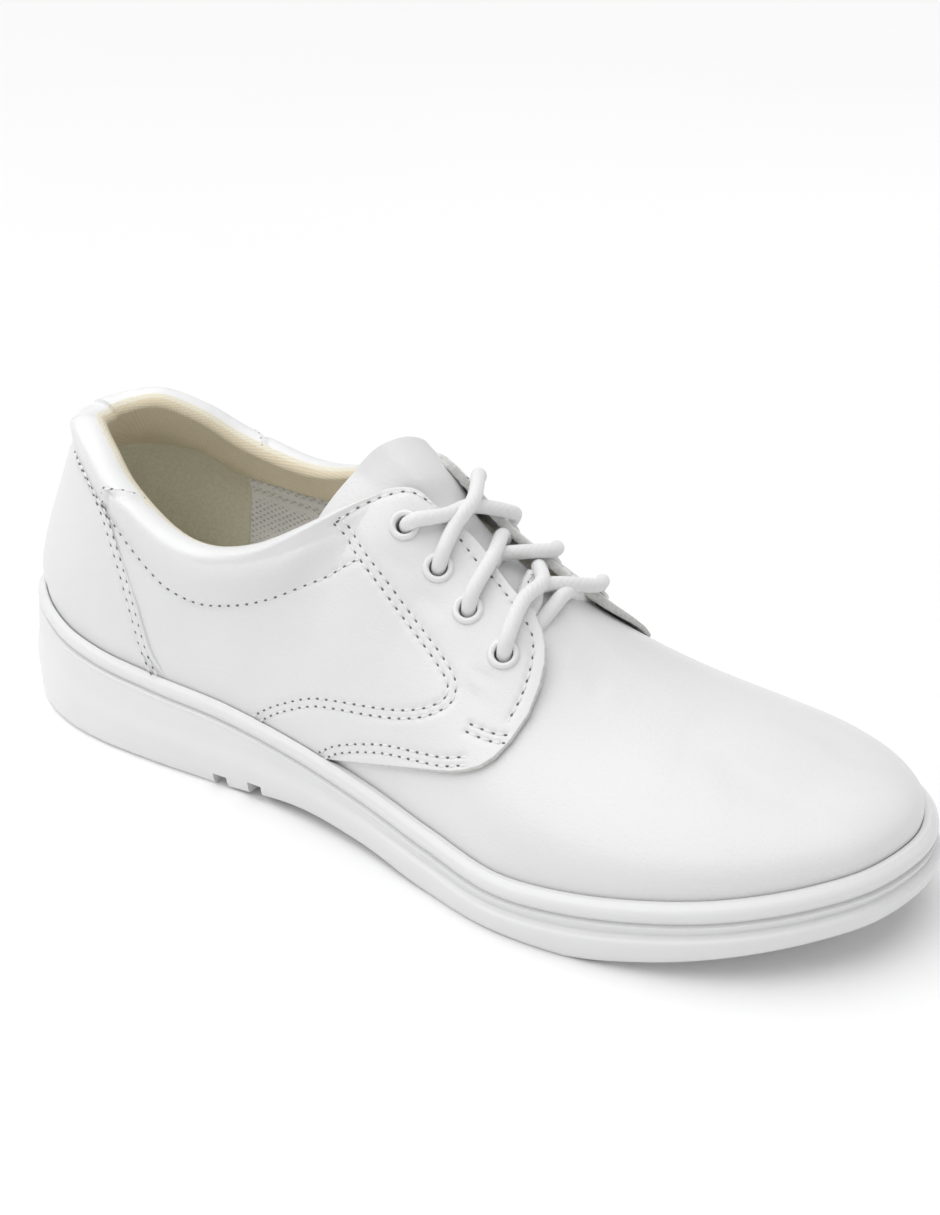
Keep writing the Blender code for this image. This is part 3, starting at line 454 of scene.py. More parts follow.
def edge(s):
    """How far up its profile the leather reaches at s, with the collar's rounding and the flap's corner."""
    along = along_of(s)
    drop = np.where(np.mod(s, 2.0) > 1, RIM_DROP[1], RIM_DROP[0])
    corner = CORNER_RISE * np.exp(-(((along - 0.548) / 0.02) ** 2))
    return read("edge", s, "edge_in") - drop * collar(s) + corner


def foot_line(s):
    """Where upper and sole meet."""
    width = LAST["ball"] * BALL_WIDTH + (1 - LAST["ball"]) * HEEL_WIDTH
    x = read("reach", s) * UPPER_LENGTH - HEEL_CENTRE
    y = round_the_shoe(-LAST["outer"] * width, LAST["inner"] * width, s)
    lift = LAST["rise"] * (HEEL_LINE - BALL_LINE) + LAST["spring"] * TOE_LIFT_OF_LINE
    return np.stack([x, y, round_the_shoe(lift, lift, s) + BALL_LINE], -1)


def top_line(s):
    """The upper ends of the profiles: the ridge of the instep, then a ring above the ankle."""
    x = read("top_x", s) * UPPER_LENGTH - HEEL_CENTRE
    y = round_the_shoe(-LAST["top_out"] * HEEL_WIDTH, LAST["top_in"] * HEEL_WIDTH, s)
    y = np.where(np.mod(s, 2.0) < 1, np.minimum(y, 0), np.maximum(y, 0))
    return np.stack([x, y, read("top_z", s) * INSTEP_HEIGHT], -1)


def outward(s):
    """The level direction out of the foot line."""
    step = 1e-3
    return unit(np.cross(UP, foot_line(s + step) - foot_line(s - step)) * np.array([1.0, 1.0, 0.0]))


def handles(s):
    """The profile at s as a Bezier curve: foot, lower handle, upper handle, top."""
    foot, top = foot_line(s), top_line(s)
    step = 1e-3
    lean = np.radians(read("lean", s))[..., None]
    tilt = np.radians(read("tilt", s))[..., None]
    chord = np.linalg.norm(foot - top, axis=-1, keepdims=True)
    low = foot + chord * read("low", s)[..., None] * (np.cos(lean) * UP + np.sin(lean) * outward(s))
    away = unit((foot - top) * np.array([1.0, 1.0, 0.0]))
    here = np.maximum(1 - np.abs(1 - np.mod(s, 2.0)), 0.02)
    ridge = top_line(here - step) - top_line(here + step)
    run = np.where(np.abs(ridge[..., :1]) > 1e-6, ridge[..., :1], 1.0)
    climb = np.where(np.abs(ridge[..., :1]) > 1e-6, ridge[..., 2:] / run, 0.0)
    level = away + UP * away[..., :1] * climb
    high = top + chord * read("high", s)[..., None] * (np.cos(tilt) * level - np.sin(tilt) * UP)
    return foot, low, high, top


def bezier(points, t):
    weights = ((1 - t) ** 3, 3 * t * (1 - t) ** 2, 3 * t * t * (1 - t), t ** 3)
    return sum(p * w for p, w in zip(points, weights))


def last_point(s, v):
    """A point of the last: v is the share of the way up the profile; under 0 it goes into the sole."""
    s, v = np.broadcast_arrays(np.asarray(s, float), np.asarray(v, float))
    points = handles(s)
    samples = np.linspace(0, 1, 25)
    path = bezier([p[..., None, :] for p in points], samples[:, None])
    run = np.cumsum(np.linalg.norm(np.diff(path, axis=-2), axis=-1), -1)
    run = np.concatenate([np.zeros(run.shape[:-1] + (1,)), run], -1)
    want = np.clip(v, 0, 1) * run[..., -1]
    i = np.clip((run <= want[..., None]).sum(-1) - 1, 0, len(samples) - 2)
    before = np.take_along_axis(run, i[..., None], -1)[..., 0]
    after = np.take_along_axis(run, i[..., None] + 1, -1)[..., 0]
    t = (i + (want - before) / (after - before)) / (len(samples) - 1)
    return bezier(points, t[..., None]) + np.minimum(v, 0)[..., None] * SEAT_DEPTH * UP


def last_normal(s, v):
    step = 2e-3
    s, v = np.broadcast_arrays(np.asarray(s, float), np.asarray(v, float))
    high = np.clip(v + step, 2 * step, 1)
    up_the_profile = last_point(s, high) - last_point(s, high - 2 * step)
    level = np.clip(v, 0, 0.97)
    round_it = last_point(s + step, level) - last_point(s - step, level)
    normal = unit(np.cross(up_the_profile, round_it))
    return np.where(v[..., None] < 0, outward(s), normal)


def skin(s, v, height):
    """A point height above the last's surface, measured along its normal."""
    return last_point(s, v) + last_normal(s, v) * np.asarray(height)[..., None]


def profile_reach(s):
    """How far a profile's top lies from its foot."""
    return np.linalg.norm(foot_line(s) - top_line(s), axis=-1)


def low_edge(s):
    """How far up its profile an overlay starts, clear of the sole's bead."""
    return (LIP * LEDGE_DROP + 3 * GAP) / profile_reach(s)


def mirrored(s, inner):
    return 2 - s if inner else s


def padding(s, v):
    """The collar's padding inside the leather: full under the edge, gone a few centimetres lower."""
    up = smooth((v / edge(s) - 0.62) / 0.26)
    return PADDING * np.clip(read("padding", s), 0, 1) * up


def ground(s):
    """The height of the sole's underside at s."""
    height = ARCH_LIFT * round_the_shoe(UNDER["arch"], UNDER["arch"], s)
    height = height + TOE_LIFT * round_the_shoe(UNDER["toe"], UNDER["toe"], s)
    height = height + HEEL_BEVEL * round_the_shoe(UNDER["bevel"], UNDER["bevel"], s)
    return np.where(height < 0.05 * MM, 0.0, height)


def side_row(row, s):
    """One line of the sole's side, right round the shoe."""
    ball = np.clip(read("ball", s), 0, 1)
    waist = 4 * ball * (1 - ball)
    level = RIBS["level_heel"][row] * (1 - ball) + RIBS["level_ball"][row] * ball
    stand = RIBS["heel"][row] * (1 - ball) + RIBS["ball"][row] * ball
    stand = stand * (1 - waist) + RIBS["waist"][row] * waist
    line = foot_line(s)
    ledge = line[..., 2] - LEDGE_DROP
    if RIBS["part"][row] == 0:
        height = line[..., 2] - level * LEDGE_DROP
    else:
        height = ledge + (ground(s) - ledge) * level
    point = line + outward(s) * BEAD * stand[..., None]
    point[..., 2] = height
    return point


def tongue_grid(along_count, across_count):
    """Places of the tongue on the last: s, v, rise past its end, and shares along and across, -1 to 1."""
    along = np.linspace(0, 1, along_count)[:, None]
    side = np.linspace(-1, 1, across_count)[None, :]
    start, end = 0.36, 0.545 - 0.045 * side + 0.015 * side ** 2
    reach = np.minimum(along / 0.9, 1)
    s = start + (end - start) * reach
    low = np.minimum(edge(s), edge(0.42)) - TONGUE_UNDERLAP
    v = 1 - (1 - low) * np.hypot(side, TONGUE_ROUND) / math.hypot(1, TONGUE_ROUND)
    rise = np.maximum(along - 0.9, 0) / 0.1 * TONGUE_RISE * (1 - 0.9 * side ** 2)
    s, v, rise, along, side = np.broadcast_arrays(s, v, rise, along, side)
    return s, v, rise, along, side


def over_the_instep(s, v, side, height):
    """A point above the instep, where side says how far to the outer (-1) or the inner side (1) it lies."""
    outer = skin(s, v, height)
    inner = skin(2 - s, v, height)
    share = smooth((side / TONGUE_ROUND + 1.2) / 2.4)[..., None]
    return outer * (1 - share) + inner * share


def tongue_point(s, v, rise, side, depth):
    point = over_the_instep(s, v, side, -depth)
    back = over_the_instep(s - 0.02, v, side, -depth)
    return point + unit(point - back) * rise[..., None]


def tongue_depth(along, side):
    """How deep under the last's surface the tongue's face lies."""
    tucked = WALL + 2 * GAP
    depth = tucked + (TONGUE_DEPTH - tucked) * smooth((along - 0.1) / 0.25)
    top = smooth((along - 0.75) / 0.2)
    depth = depth * (1 - top) + TONGUE_TOP_DEPTH * top
    return depth + 0.25 * MM * side ** 2


def spline(rows, t):
    """A smooth open curve through the rows of a short table, read at shares t of its way."""
    rows = np.asarray(rows, float)
    way = np.linspace(0, 1, len(rows))
    slope = np.gradient(rows, way, axis=0)
    i = np.clip(np.searchsorted(way, t, side="right") - 1, 0, len(rows) - 2)
    h = way[i + 1] - way[i]
    return between(rows[i], rows[i + 1], slope[i], slope[i + 1], h[:, None], ((t - way[i]) / h)[:, None])


def counter_edge(s):
    """How far up the profile the heel counter's front edge lies, on either side of the heel."""
    along = np.minimum(s, 2 - s)
    up = np.interp(along, HEEL_PIECE["along"], HEEL_PIECE["up"])
    return np.where(along > HEEL_PIECE["along"][-1], 1.0, np.maximum(up, low_edge(s)))


def distance_to(points, line):
    """How far each point lies from a line of points, and how far along the line that is."""
    points = points.reshape(-1, 3)
    start, step = line[:-1], np.diff(line, axis=0)
    length = np.linalg.norm(step, axis=-1)
    before = np.concatenate([[0.0], np.cumsum(length)[:-1]])
    best = np.full(len(points), 1.0)
    along = np.zeros(len(points))
    near = ((points > line.min(0) - NEAR) & (points < line.max(0) + NEAR)).all(-1)
    chosen = np.flatnonzero(near)
    for part in np.array_split(chosen, max(1, len(chosen) // 2000)):
        away = points[part][:, None] - start
        share = np.clip((away * step).sum(-1) / (length * length), 0, 1)
        gap = np.linalg.norm(away - share[..., None] * step, axis=-1)
        pick = gap.argmin(1)
        row = np.arange(len(part))
        best[part] = gap[row, pick]
        along[part] = before[pick] + share[row, pick] * length[pick]
    return best, along


def cells_of(grid):
    """The four corner values of each cell of a grid."""
    return np.stack((grid[:-1, :-1], grid[:-1, 1:], grid[1:, 1:], grid[1:, :-1]), 2)


def sheet_faces(rows, columns):
    return cells_of(np.arange(rows * columns).reshape(rows, columns)).reshape(-1, 4)


def band_faces(rows, columns):
    """The faces of a band whose rows are closed rings."""
    index = np.arange(rows * columns).reshape(rows, columns)
    after = np.roll(index, -1, axis=1)
    return np.stack([index[:-1], after[:-1], after[1:], index[1:]], -1).reshape(-1, 4)


def free_edges(faces, count):
    """The directed edges that only one face has."""
    starts = faces.reshape(-1)
    ends = np.roll(faces, -1, axis=1).reshape(-1)
    real = starts != ends
    starts, ends = starts[real], ends[real]
    alone = ~np.isin(starts * count + ends, ends * count + starts)
    return starts[alone], ends[alone]


def mesh_object(name, points, faces, materials, indices=None, sharp=50):
    mesh = bpy.data.meshes.new(name)
    mesh.from_pydata(np.asarray(points).tolist(), [], [list(f) for f in faces])
    for material in materials:
        mesh.materials.append(material)
    if indices is not None:
        mesh.polygons.foreach_set("material_index", np.asarray(indices, np.int32))
    work = bmesh.new()
    work.from_mesh(mesh)
    bmesh.ops.remove_doubles(work, verts=work.verts, dist=2e-6)
    bmesh.ops.dissolve_degenerate(work, edges=work.edges, dist=1e-7)
    bmesh.ops.recalc_face_normals(work, faces=work.faces)
    work.to_mesh(mesh)
    work.free()
    mesh.shade_smooth()
    mesh.set_sharp_from_angle(angle=math.radians(sharp))
    return in_scene(name, mesh)


def wall(name, outer, inner, faces, materials, crown=0.35, rings=3, marked=None):
    """A closed piece between two sheets of points with the same faces, with a rounded cut edge.

    materials is the outer sheet's, the edge's and the inner sheet's; marked faces have the edge's.
    """
    outer, inner = outer.reshape(-1, 3), inner.reshape(-1, 3)
    count = len(outer)
    a, b = free_edges(faces, count)
    normal = unit(outer - inner)
    aside = np.zeros((count, 3))
    lean = unit(np.cross(outer[b] - outer[a], normal[a]))
    np.add.at(aside, a, lean)
    np.add.at(aside, b, lean)
    rim = np.unique(np.concatenate([a, b]))
    place = np.zeros(count, int)
    place[rim] = np.arange(len(rim))
    middle = (outer + inner)[rim] / 2
    half = (outer - inner)[rim] / 2
    thick = 2 * np.linalg.norm(half, axis=-1, keepdims=True)
    points = [outer, inner]
    turns = [math.pi * k / (rings + 1) for k in range(1, rings + 1)]
    for turn in turns:
        points.append(middle + half * math.cos(turn) + unit(aside[rim]) * thick * crown * math.sin(turn))
    loops = [(a, b)]
    for k in range(rings):
        start = 2 * count + k * len(rim)
        loops.append((start + place[a], start + place[b]))
    loops.append((count + a, count + b))
    all_faces = [faces, faces[:, ::-1] + count]
    for (a0, b0), (a1, b1) in zip(loops, loops[1:]):
        all_faces.append(np.stack([b0, a0, a1, b1], -1))
    around = sum(len(f) for f in all_faces[2:])
    marked = np.zeros(len(faces), bool) if marked is None else marked.reshape(-1)
    indices = np.concatenate([np.where(marked, 1, 0), np.where(marked, 1, 2), np.ones(around, int)])
    return mesh_object(name, np.concatenate(points), np.concatenate(all_faces), materials, indices)


def piece(obj, slot, *nodes):
    """Hangs a finished piece on the root body and hides the imported parts that it takes the place of."""
    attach(obj, "root")
    if nodes:
        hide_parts(*nodes)
    return obj


def along_of(s):
    """s counted from the toe to the heel on either side."""
    return 1 - np.abs(1 - np.mod(s, 2.0))


def profile_up(s, v):
    """The direction up the profile at its place."""
    step = 4e-3
    high = np.clip(v, step, 1)
    return unit(last_point(s, high) - last_point(s, high - step))


def collar(s):
    """How much of the padded collar there is: none at the lacing, all from the ankle back."""
    return smooth((along_of(s) - 0.555) / 0.07)


def flap_lift(s, v):
    """How far the sides stand off the vamp where the lace lifts them."""
    along = along_of(s)
    lift = np.where(np.mod(s, 2.0) > 1, FLAP_LIFT[1], FLAP_LIFT[0])
    front = 1 - 0.66 * smooth((along - 0.395) / 0.08)
    up = smooth((v - 0.47) / 0.36)
    return lift * front * up * (1 - smooth((along - 0.545) / 0.05))


def flap_lining(s, v):
    """How much the lining adds to a side piece's thickness near the lacing."""
    return FLAP_LINING * smooth((v - 0.55) / 0.25) * (1 - collar(s))


def rim(s, share, top, inset=0.0):
    """The rounded upper edge: share 0 is its outer side, at height top, and share 1 its inner side."""
    edges = edge(s)
    here = collar(s)
    inside = (top - OVERLAY - FLAP_LINING) * (1 - here) + (-WALL - LINING - padding(s, edges)) * here
    half = np.maximum((top - inside) / 2 - inset, 0.02 * MM)
    middle = (top + inside) / 2
    turn = np.pi * share
    base = skin(s, edges, middle + half * np.cos(turn))
    rise = (half * (RIM_RISE[0] * (1 - here) + RIM_RISE[1] * here) * np.sin(turn))[..., None]
    return base + profile_up(s, edges) * rise


def line_on(rows, inner=False, steps=400):
    """A smooth line through a table of (along, up), as (s, v)."""
    path = spline(rows, np.linspace(0, 1, steps))
    s, v = path[:, 0], path[:, 1]
    if inner:
        v = v * edge(2 - s) / edge(s)
    return mirrored(s, inner), v


def shifted(s, v, distance):
    """The line (s, v) moved sideways on the last by distance."""
    step = 1e-3
    by_s = (skin(s + step, v, 0 * s) - skin(s - step, v, 0 * s)) / (2 * step)
    by_v = (skin(s, v + step, 0 * s) - skin(s, v - step, 0 * s)) / (2 * step)
    way = unit(np.gradient(skin(s, v, 0 * s), axis=0))
    side = unit(np.cross(last_normal(s, v), way)) * distance
    a, b, c = (by_s * by_s).sum(-1), (by_s * by_v).sum(-1), (by_v * by_v).sum(-1)
    p, q = (side * by_s).sum(-1), (side * by_v).sum(-1)
    whole = a * c - b * b
    return s + (p * c - q * b) / whole, v + (q * a - p * b) / whole


def evenly(s, v, pitch):
    """The line (s, v) cut in steps of one length."""
    run = run_along(skin(s, v, 0 * s))
    count = max(2, int(round(run[-1] / pitch)) + 1)
    want = np.linspace(0, run[-1], count)
    return np.interp(want, run, s), np.interp(want, run, v)


def doubled(s, v):
    """The two lines beside (s, v) where a row is sewn twice."""
    return [shifted(s, v, shift) for shift in (-DOUBLE_ROW / 2, DOUBLE_ROW / 2)]


def seams(inner):
    """Every stitch row of one side as (s, v)."""
    found = []
    for _, rows, twice in QUARTER_ROWS:
        line = line_on(rows, inner)
        found += doubled(*line) if twice else [line]
    return found


def grooves_on(points, lines, depth, width, pucker):
    """The dents that lines of (s, v) press into a surface near its base points."""
    dent = np.zeros(points.shape[:-1])
    for s, v in lines:
        s, v = evenly(s, v, LINE_STEP)
        gap, run = distance_to(points, skin(s, v, 0 * s))
        shape = np.exp(-((gap / width) ** 2)).reshape(dent.shape)
        wave = 1 + pucker * np.cos(2 * np.pi * run / STITCH).reshape(dent.shape)
        dent = np.maximum(dent, depth * shape * wave)
    return dent


def soft_folds(points, folds, inner):
    """Listed creases: each is a line of (along, up), a depth, where under 0 is a ridge, and a width."""
    height = np.zeros(points.shape[:-1])
    for rows, depth, width in folds:
        s, v = line_on(rows, inner, 60)
        gap, run = distance_to(points, skin(s, v, 0 * s))
        ends = np.minimum(run, run.max() - run)
        fade = smooth(ends / (4 * width)).reshape(height.shape)
        height -= depth * fade * np.exp(-((gap / width) ** 2)).reshape(height.shape)
    return height


def puff(s, v):
    """The padding that shows outside, above the collar's stitch row."""
    along = along_of(s)
    row = np.interp(along, COLLAR_BASE["along"], COLLAR_BASE["up"])
    row = row * edge(s) / edge(along)
    up = np.sin(0.72 * np.pi * np.clip((v - row) / 0.14, 0, 1))
    ends = smooth((along - 0.565) / 0.05)
    return PUFF * up * ends


def heel_seam(inner, back=0.0):
    """A line beside the seam between the collar's pieces, over the rim too, with its outward directions."""
    path = spline(HEEL_SEAM, np.linspace(0, 1, 50))
    along = path[:, 0] + back
    s = mirrored(along, inner)
    v = np.minimum((path[:, 1] + back) * edge(s) / edge(along), edge(s))
    face = skin(s, v, FACE + puff(s, v))
    share = np.linspace(0, LEATHER_END, 25)[1:]
    s_over = mirrored(along[-1] - SEAM_SLANT * share, inner)
    top = FACE + puff(s_over, edge(s_over))
    over = rim(s_over, share, top)
    outs = np.concatenate([last_normal(s, v), unit(over - rim(s_over, share, top, 1.0))])
    return np.concatenate([face, over]), outs


def quarter_height(s, v, inner):
    base = skin(s, v, 0 * v)
    height = FACE + flap_lift(s, v) + puff(s, v)
    height -= grooves_on(base, seams(inner), STITCH_DENT, DENT_WIDTH, PUCKER)
    height += soft_folds(base, FOLDS, inner)
    return height


def fine_along(start, end, step, ends=0.0):
    """Places along the shoe, step apart in metres of foot line, closer together at the start."""
    count = max(8, int(round((end - start) * HALF_FOOT_LINE / step)))
    way = np.linspace(0, 1, count + 1)
    way = way + ends * (way * way - way)
    return start + (end - start) * way


def quarter_outline(along, inner):
    """The lower and upper end of each of a quarter's columns."""
    s = mirrored(along, inner)
    foot = START / profile_reach(s)
    low = np.interp(along, FLAP["along"], FLAP["low"])
    low = np.maximum(low, foot)
    behind = counter_edge(mirrored(along - COUNTER_LAP, inner))
    low = np.where(along > HEEL_PIECE["along"][0] + COUNTER_LAP, np.minimum(behind, 0.98 * edge(s)), low)
    high = np.minimum(np.interp(along, FLAP["along"], FLAP["high"]), edge(s))
    return s, low, high


def with_rim(face, under, over, below, full):
    """A piece's two sheets with the roll over the rim, folded flat in the columns that end below it."""
    flat = full[:, :, None] < 0.5
    outer = np.concatenate([face, np.where(flat, face[:, -1:], over)], 1)
    inside = np.concatenate([under, np.where(flat, under[:, -1:], below)], 1)
    return outer, inside


def quarter(name, inner, materials):
    """A side with the eyelets: it lies on the vamp, stands off it at the lacing and rolls over the collar."""
    front = FLAP["along"][0]
    along = fine_along(front, HEEL_PIECE["along"][-1] + COUNTER_LAP, GRID_STEP, 0.45)
    s, low, high = quarter_outline(along, inner)
    rows = np.linspace(0, 1, QUARTER_GRID_ROWS)
    v = low[:, None] + (high - low)[:, None] * rows
    wide = s[:, None] + 0 * v
    height = tucked(wide, v, quarter_height(wide, v, inner))
    face = skin(wide, v, height)
    under = LAY + flap_lift(wide, v) - flap_lining(wide, v)
    under = skin(wide, v, tucked(wide, v, under) - 0.05 * MM)
    here = collar(s)[:, None]
    share = np.linspace(0, 1, RIM_ROWS + 1)[1:] * (0.95 + (LEATHER_END - 0.95) * here)
    top = height[:, -1:] + 0 * share
    full = np.where(high[:, None] >= edge(wide[:, :1]) - 1e-6, 1.0, 0.0)
    rim_s = s[:, None] + 0 * share
    over = rim(rim_s, share * full, top)
    below = rim(rim_s, share * full, top, 1.2 * MM)
    below = below * here[..., None] + under[:, -1:] * (1 - here[..., None])
    outer, inside = with_rim(face, under, over, below, full)
    cut = np.concatenate([np.zeros(wide.shape, bool), (share > CUT_FROM) & (here < 0.02)], 1)
    gap, _ = distance_to(outer, heel_seam(inner)[0])
    dent = SEAM_DENT * np.exp(-((gap / SEAM_WIDTH) ** 2)).reshape(outer.shape[:2] + (1,))
    outer = outer - unit(outer - inside) * dent
    if inner:
        outer, inside, cut = outer[::-1], inside[::-1], cut[::-1]
    return wall(name, outer, inside, sheet_faces(*outer.shape[:2]), materials, marked=cut[1:, 1:])


def tucked(s, v, height):
    """A side piece's height, less near the sole, where the leather goes in behind the lip."""
    share = smooth(v * profile_reach(s) / (8 * MM))
    return height * share + np.minimum(height, TUCKED) * (1 - share)


def counter(name, materials):
    """The heel piece, over the quarters' back edges and up over the heel's rim."""
    start = HEEL_PIECE["along"][0]
    side = fine_along(start, 1.0, GRID_STEP)
    s = np.concatenate([side, 2 - side[-2::-1]])
    foot = START / profile_reach(s)
    reach = np.interp(along_of(s), HEEL_PIECE["along"], HEEL_PIECE["up"])
    reach = np.where(along_of(s) > HEEL_PIECE["along"][-1], 1.0, reach)
    high = np.clip(reach, foot + 0.004, edge(s))
    rows = np.linspace(0, 1, COUNTER_GRID_ROWS)
    v = foot[:, None] + (high - foot)[:, None] * rows
    wide = s[:, None] + 0 * v
    base = skin(wide, v, 0 * v)
    lines = []
    for inner in (False, True):
        lines += doubled(*line_on(COUNTER_ROW, inner))
    step = COUNTER_STEP * (1 - 0.85 * smooth((v - edge(wide) + 0.14) / 0.10))
    height = FACE + step + puff(wide, v)
    height = tucked(wide, v, height - grooves_on(base, lines, STITCH_DENT, DENT_WIDTH, PUCKER))
    lower = tucked(wide, v, FACE - 0.1 * MM + puff(wide, v)) - 0.15 * MM
    face, under = skin(wide, v, height), skin(wide, v, lower)
    share = np.linspace(0, LEATHER_END, RIM_ROWS + 1)[1:]
    full = (high >= edge(s) - 1e-6)[:, None] * 1.0
    rim_s = s[:, None] + 0 * share
    over = rim(rim_s, share * full, height[:, -1:] + 0 * share)
    below = rim(rim_s, share * full, height[:, -1:] + 0 * share, 0.9 * MM)
    outer, inside = with_rim(face, under, over, below, full)
    return wall(name, outer, inside, sheet_faces(*outer.shape[:2]), materials)


def vamp(name, materials):
    """The front of the upper: it runs over the instep to the throat and on under the sides."""
    along = fine_along(0.0, 0.62, 1.1 * MM)
    along[np.abs(along - THROAT_AT).argmin()] = THROAT_AT
    ahead = smooth((0.455 - along) / 0.035)
    split = 0.50 + (0.84 - 0.50) * ahead
    low = np.linspace(0, 1, VAMP_GRID_ROWS)
    ridge = np.linspace(0, 1, RIDGE_GRID_ROWS)[1:]
    up = np.concatenate([
        BELOW + (split[:, None] - BELOW) * low,
        split[:, None] + (1 - split[:, None]) * ridge,
    ], 1)
    bend = smooth((along - 0.36) / 0.06)[:, None] * np.clip((1 - up) / 0.16, 0, 1)
    wide = along[:, None] - THROAT_BEND * bend
    sides = []
    for inner in (False, True):
        s = mirrored(wide, inner)
        base = skin(s, up, 0 * up)
        height = soft_folds(base, VAMP_FOLDS, inner)
        sides.append((skin(s, up, height), skin(s, up, height - VAMP_THICK)))
    rows = up.shape[1]
    outer = np.concatenate([sides[0][0], sides[1][0][:, -2::-1]], 1)
    inside = np.concatenate([sides[0][1], sides[1][1][:, -2::-1]], 1)
    inside[:, rows - 1] = (sides[0][1][:, -1] + sides[1][1][:, -1]) / 2
    count = outer.shape[1]
    index = np.arange(outer.shape[0] * count).reshape(-1, count)
    index[0, rows:] = index[0, rows - 2::-1]
    faces = cells_of(index)
    beyond = along[1:] > THROAT_AT + 1e-9
    middle = np.zeros(count - 1, bool)
    middle[VAMP_GRID_ROWS - 1:count - VAMP_GRID_ROWS] = True
    keep = ~(beyond[:, None] & middle[None])
    eased = eased_round(outer, skin(np.array(0.0), np.array(1.0), 0.0) + TOE_AHEAD, TOE_SOFT)
    inside = inside + eased - outer
    return wall(name, eased, inside, faces[keep], materials)


def eased_round(points, place, radius):
    """The points with the heights near a place taken from a cubic through what lies round it."""
    away = (points - place) / radius
    gap = np.hypot(away[..., 0], away[..., 1])
    terms = np.stack([away[..., 0] ** i * away[..., 1] ** j for i in range(4) for j in range(4 - i)], -1)
    ring = (gap > 1.0) & (gap < 1.35) & (away[..., 2] > -0.6)
    fit = np.linalg.lstsq(terms[ring], points[ring][:, 2], rcond=None)[0]
    share = smooth((1.0 - gap) / 0.5) * (away[..., 2] > -0.6)
    eased = points.copy()
    eased[..., 2] += ((terms @ fit) - points[..., 2]) * share
    return eased


def inner_wall(name, s, low, high, depth, materials, rim_from=None):
    """A lining: from low to high on the wall's inner side, and on over the rim where rim_from is given."""
    rows = np.linspace(0, 1, LINING_ROWS)
    v = low[:, None] + (high - low)[:, None] * rows
    wide = s[:, None] + 0 * v
    inward = -WALL - padding(wide, np.maximum(v, 0)) - depth
    inside = skin(wide, v, inward)
    outer = skin(wide, v, inward + LINING_THICK)
    if rim_from is not None:
        share = np.linspace(1, rim_from, 2 * RIM_ROWS + 1)[1:]
        rim_s = s[:, None] + 0 * share
        top = FACE + puff(rim_s, edge(rim_s))
        inside = np.concatenate([inside, rim(rim_s, share, top, -0.05 * MM)], 1)
        outer = np.concatenate([outer, rim(rim_s, share, top, LINING_THICK)], 1)
    faces = sheet_faces(*outer.shape[:2])
    piping = np.zeros((len(s) - 1, outer.shape[1] - 1), bool)
    if rim_from is not None:
        piping[:, LINING_ROWS - 1:] = share < PIPING_FROM
    return wall(name, outer, inside, faces, materials, marked=piping)


def tongue(name, materials):
    """The padded tongue: plain at the front, fuller above, with a pressed border."""
    s, v, rise, along, side = tongue_grid(110, 81)
    depth = tongue_depth(along, side)
    full = smooth(along / 0.45) * 0.7 + 0.3
    thick = TONGUE_EDGE + (TONGUE_THICK * full - TONGUE_EDGE) * np.sqrt(np.clip(1 - side ** 4, 0, 1))
    thick = thick * (1 - 0.4 * smooth((along - 0.9) / 0.1))
    face = tongue_point(s, v, rise, side, depth)
    back = tongue_point(s, v, rise, side, depth + thick)
    normal = unit(face - back)
    border = np.exp(-(((1 - np.abs(side)) - 0.16) / 0.035) ** 2) * smooth((along - 0.5) / 0.1)
    crown = smooth((along - 0.5) / 0.3) * np.clip(1 - (side / 0.8) ** 2, 0, 1)
    face = face + normal * (0.5 * MM * crown - 0.25 * MM * border)[..., None]
    return wall(name, face[:, ::-1], back[:, ::-1], sheet_faces(*face.shape[:2]), materials, 0.45, 5)


def cup_offset(s):
    """How far out of the foot line the sole's lip starts: more where a side piece lies on the vamp."""
    covered = smooth((along_of(s) - 0.515) / 0.035)
    return GAP * 0.8 + (TUCKED - GAP * 0.2) * covered


def sole_profile(s):
    """The sole's side rows, drawn finely through the table's, as points of (row, station)."""
    knots = np.stack([side_row(row, s) for row in range(len(SIDE))])
    fine = np.linspace(0, len(knots) - 1, (len(knots) - 1) * SOLE_STEPS + 1)
    i = np.clip(fine.astype(int), 0, len(knots) - 2)
    t = (fine - i)[:, None, None]
    slope = np.gradient(knots, axis=0)
    slope[0] = knots[1] - knots[0]
    slope[-1] = knots[-1] - knots[-2]
    return between(knots[i], knots[i + 1], slope[i], slope[i + 1], 1, t)


def outsole(name, materials):
    """The moulded sole, with its bead, undercut and bulge."""
    side = np.linspace(0, 1, SOLE_STATIONS + 1)
    s = np.concatenate([side, 2 - side[-2:0:-1]])
    inner = foot_line(s) + outward(s) * cup_offset(s)[:, None]
    deep = inner - UP * (SEAT_DEPTH - 0.5 * MM)
    lip = inner + UP * 0.30 * MM
    near_lip = inner + outward(s) * 0.30 * MM + UP * 0.58 * MM
    rings = np.concatenate([np.stack([deep, lip, near_lip]), sole_profile(s)])
    faces = [band_faces(len(rings), len(s))]
    points = [rings.reshape(-1, 3)]
    start = len(points[0])
    for ring, turn in ((rings[0], False), (rings[-1], True)):
        outer = ring[: SOLE_STATIONS + 1]
        back = ring[[(2 * SOLE_STATIONS - i) % (2 * SOLE_STATIONS) for i in range(SOLE_STATIONS + 1)]]
        share = np.linspace(0, 1, 9)[None, :, None]
        grid = outer[:, None] * (1 - share) + back[:, None] * share
        points.append(grid.reshape(-1, 3))
        faces.append(sheet_faces(grid.shape[0], grid.shape[1]) + start)
        start += len(points[-1])
    return mesh_object(name, np.concatenate(points), np.concatenate(faces), materials, None, 35)


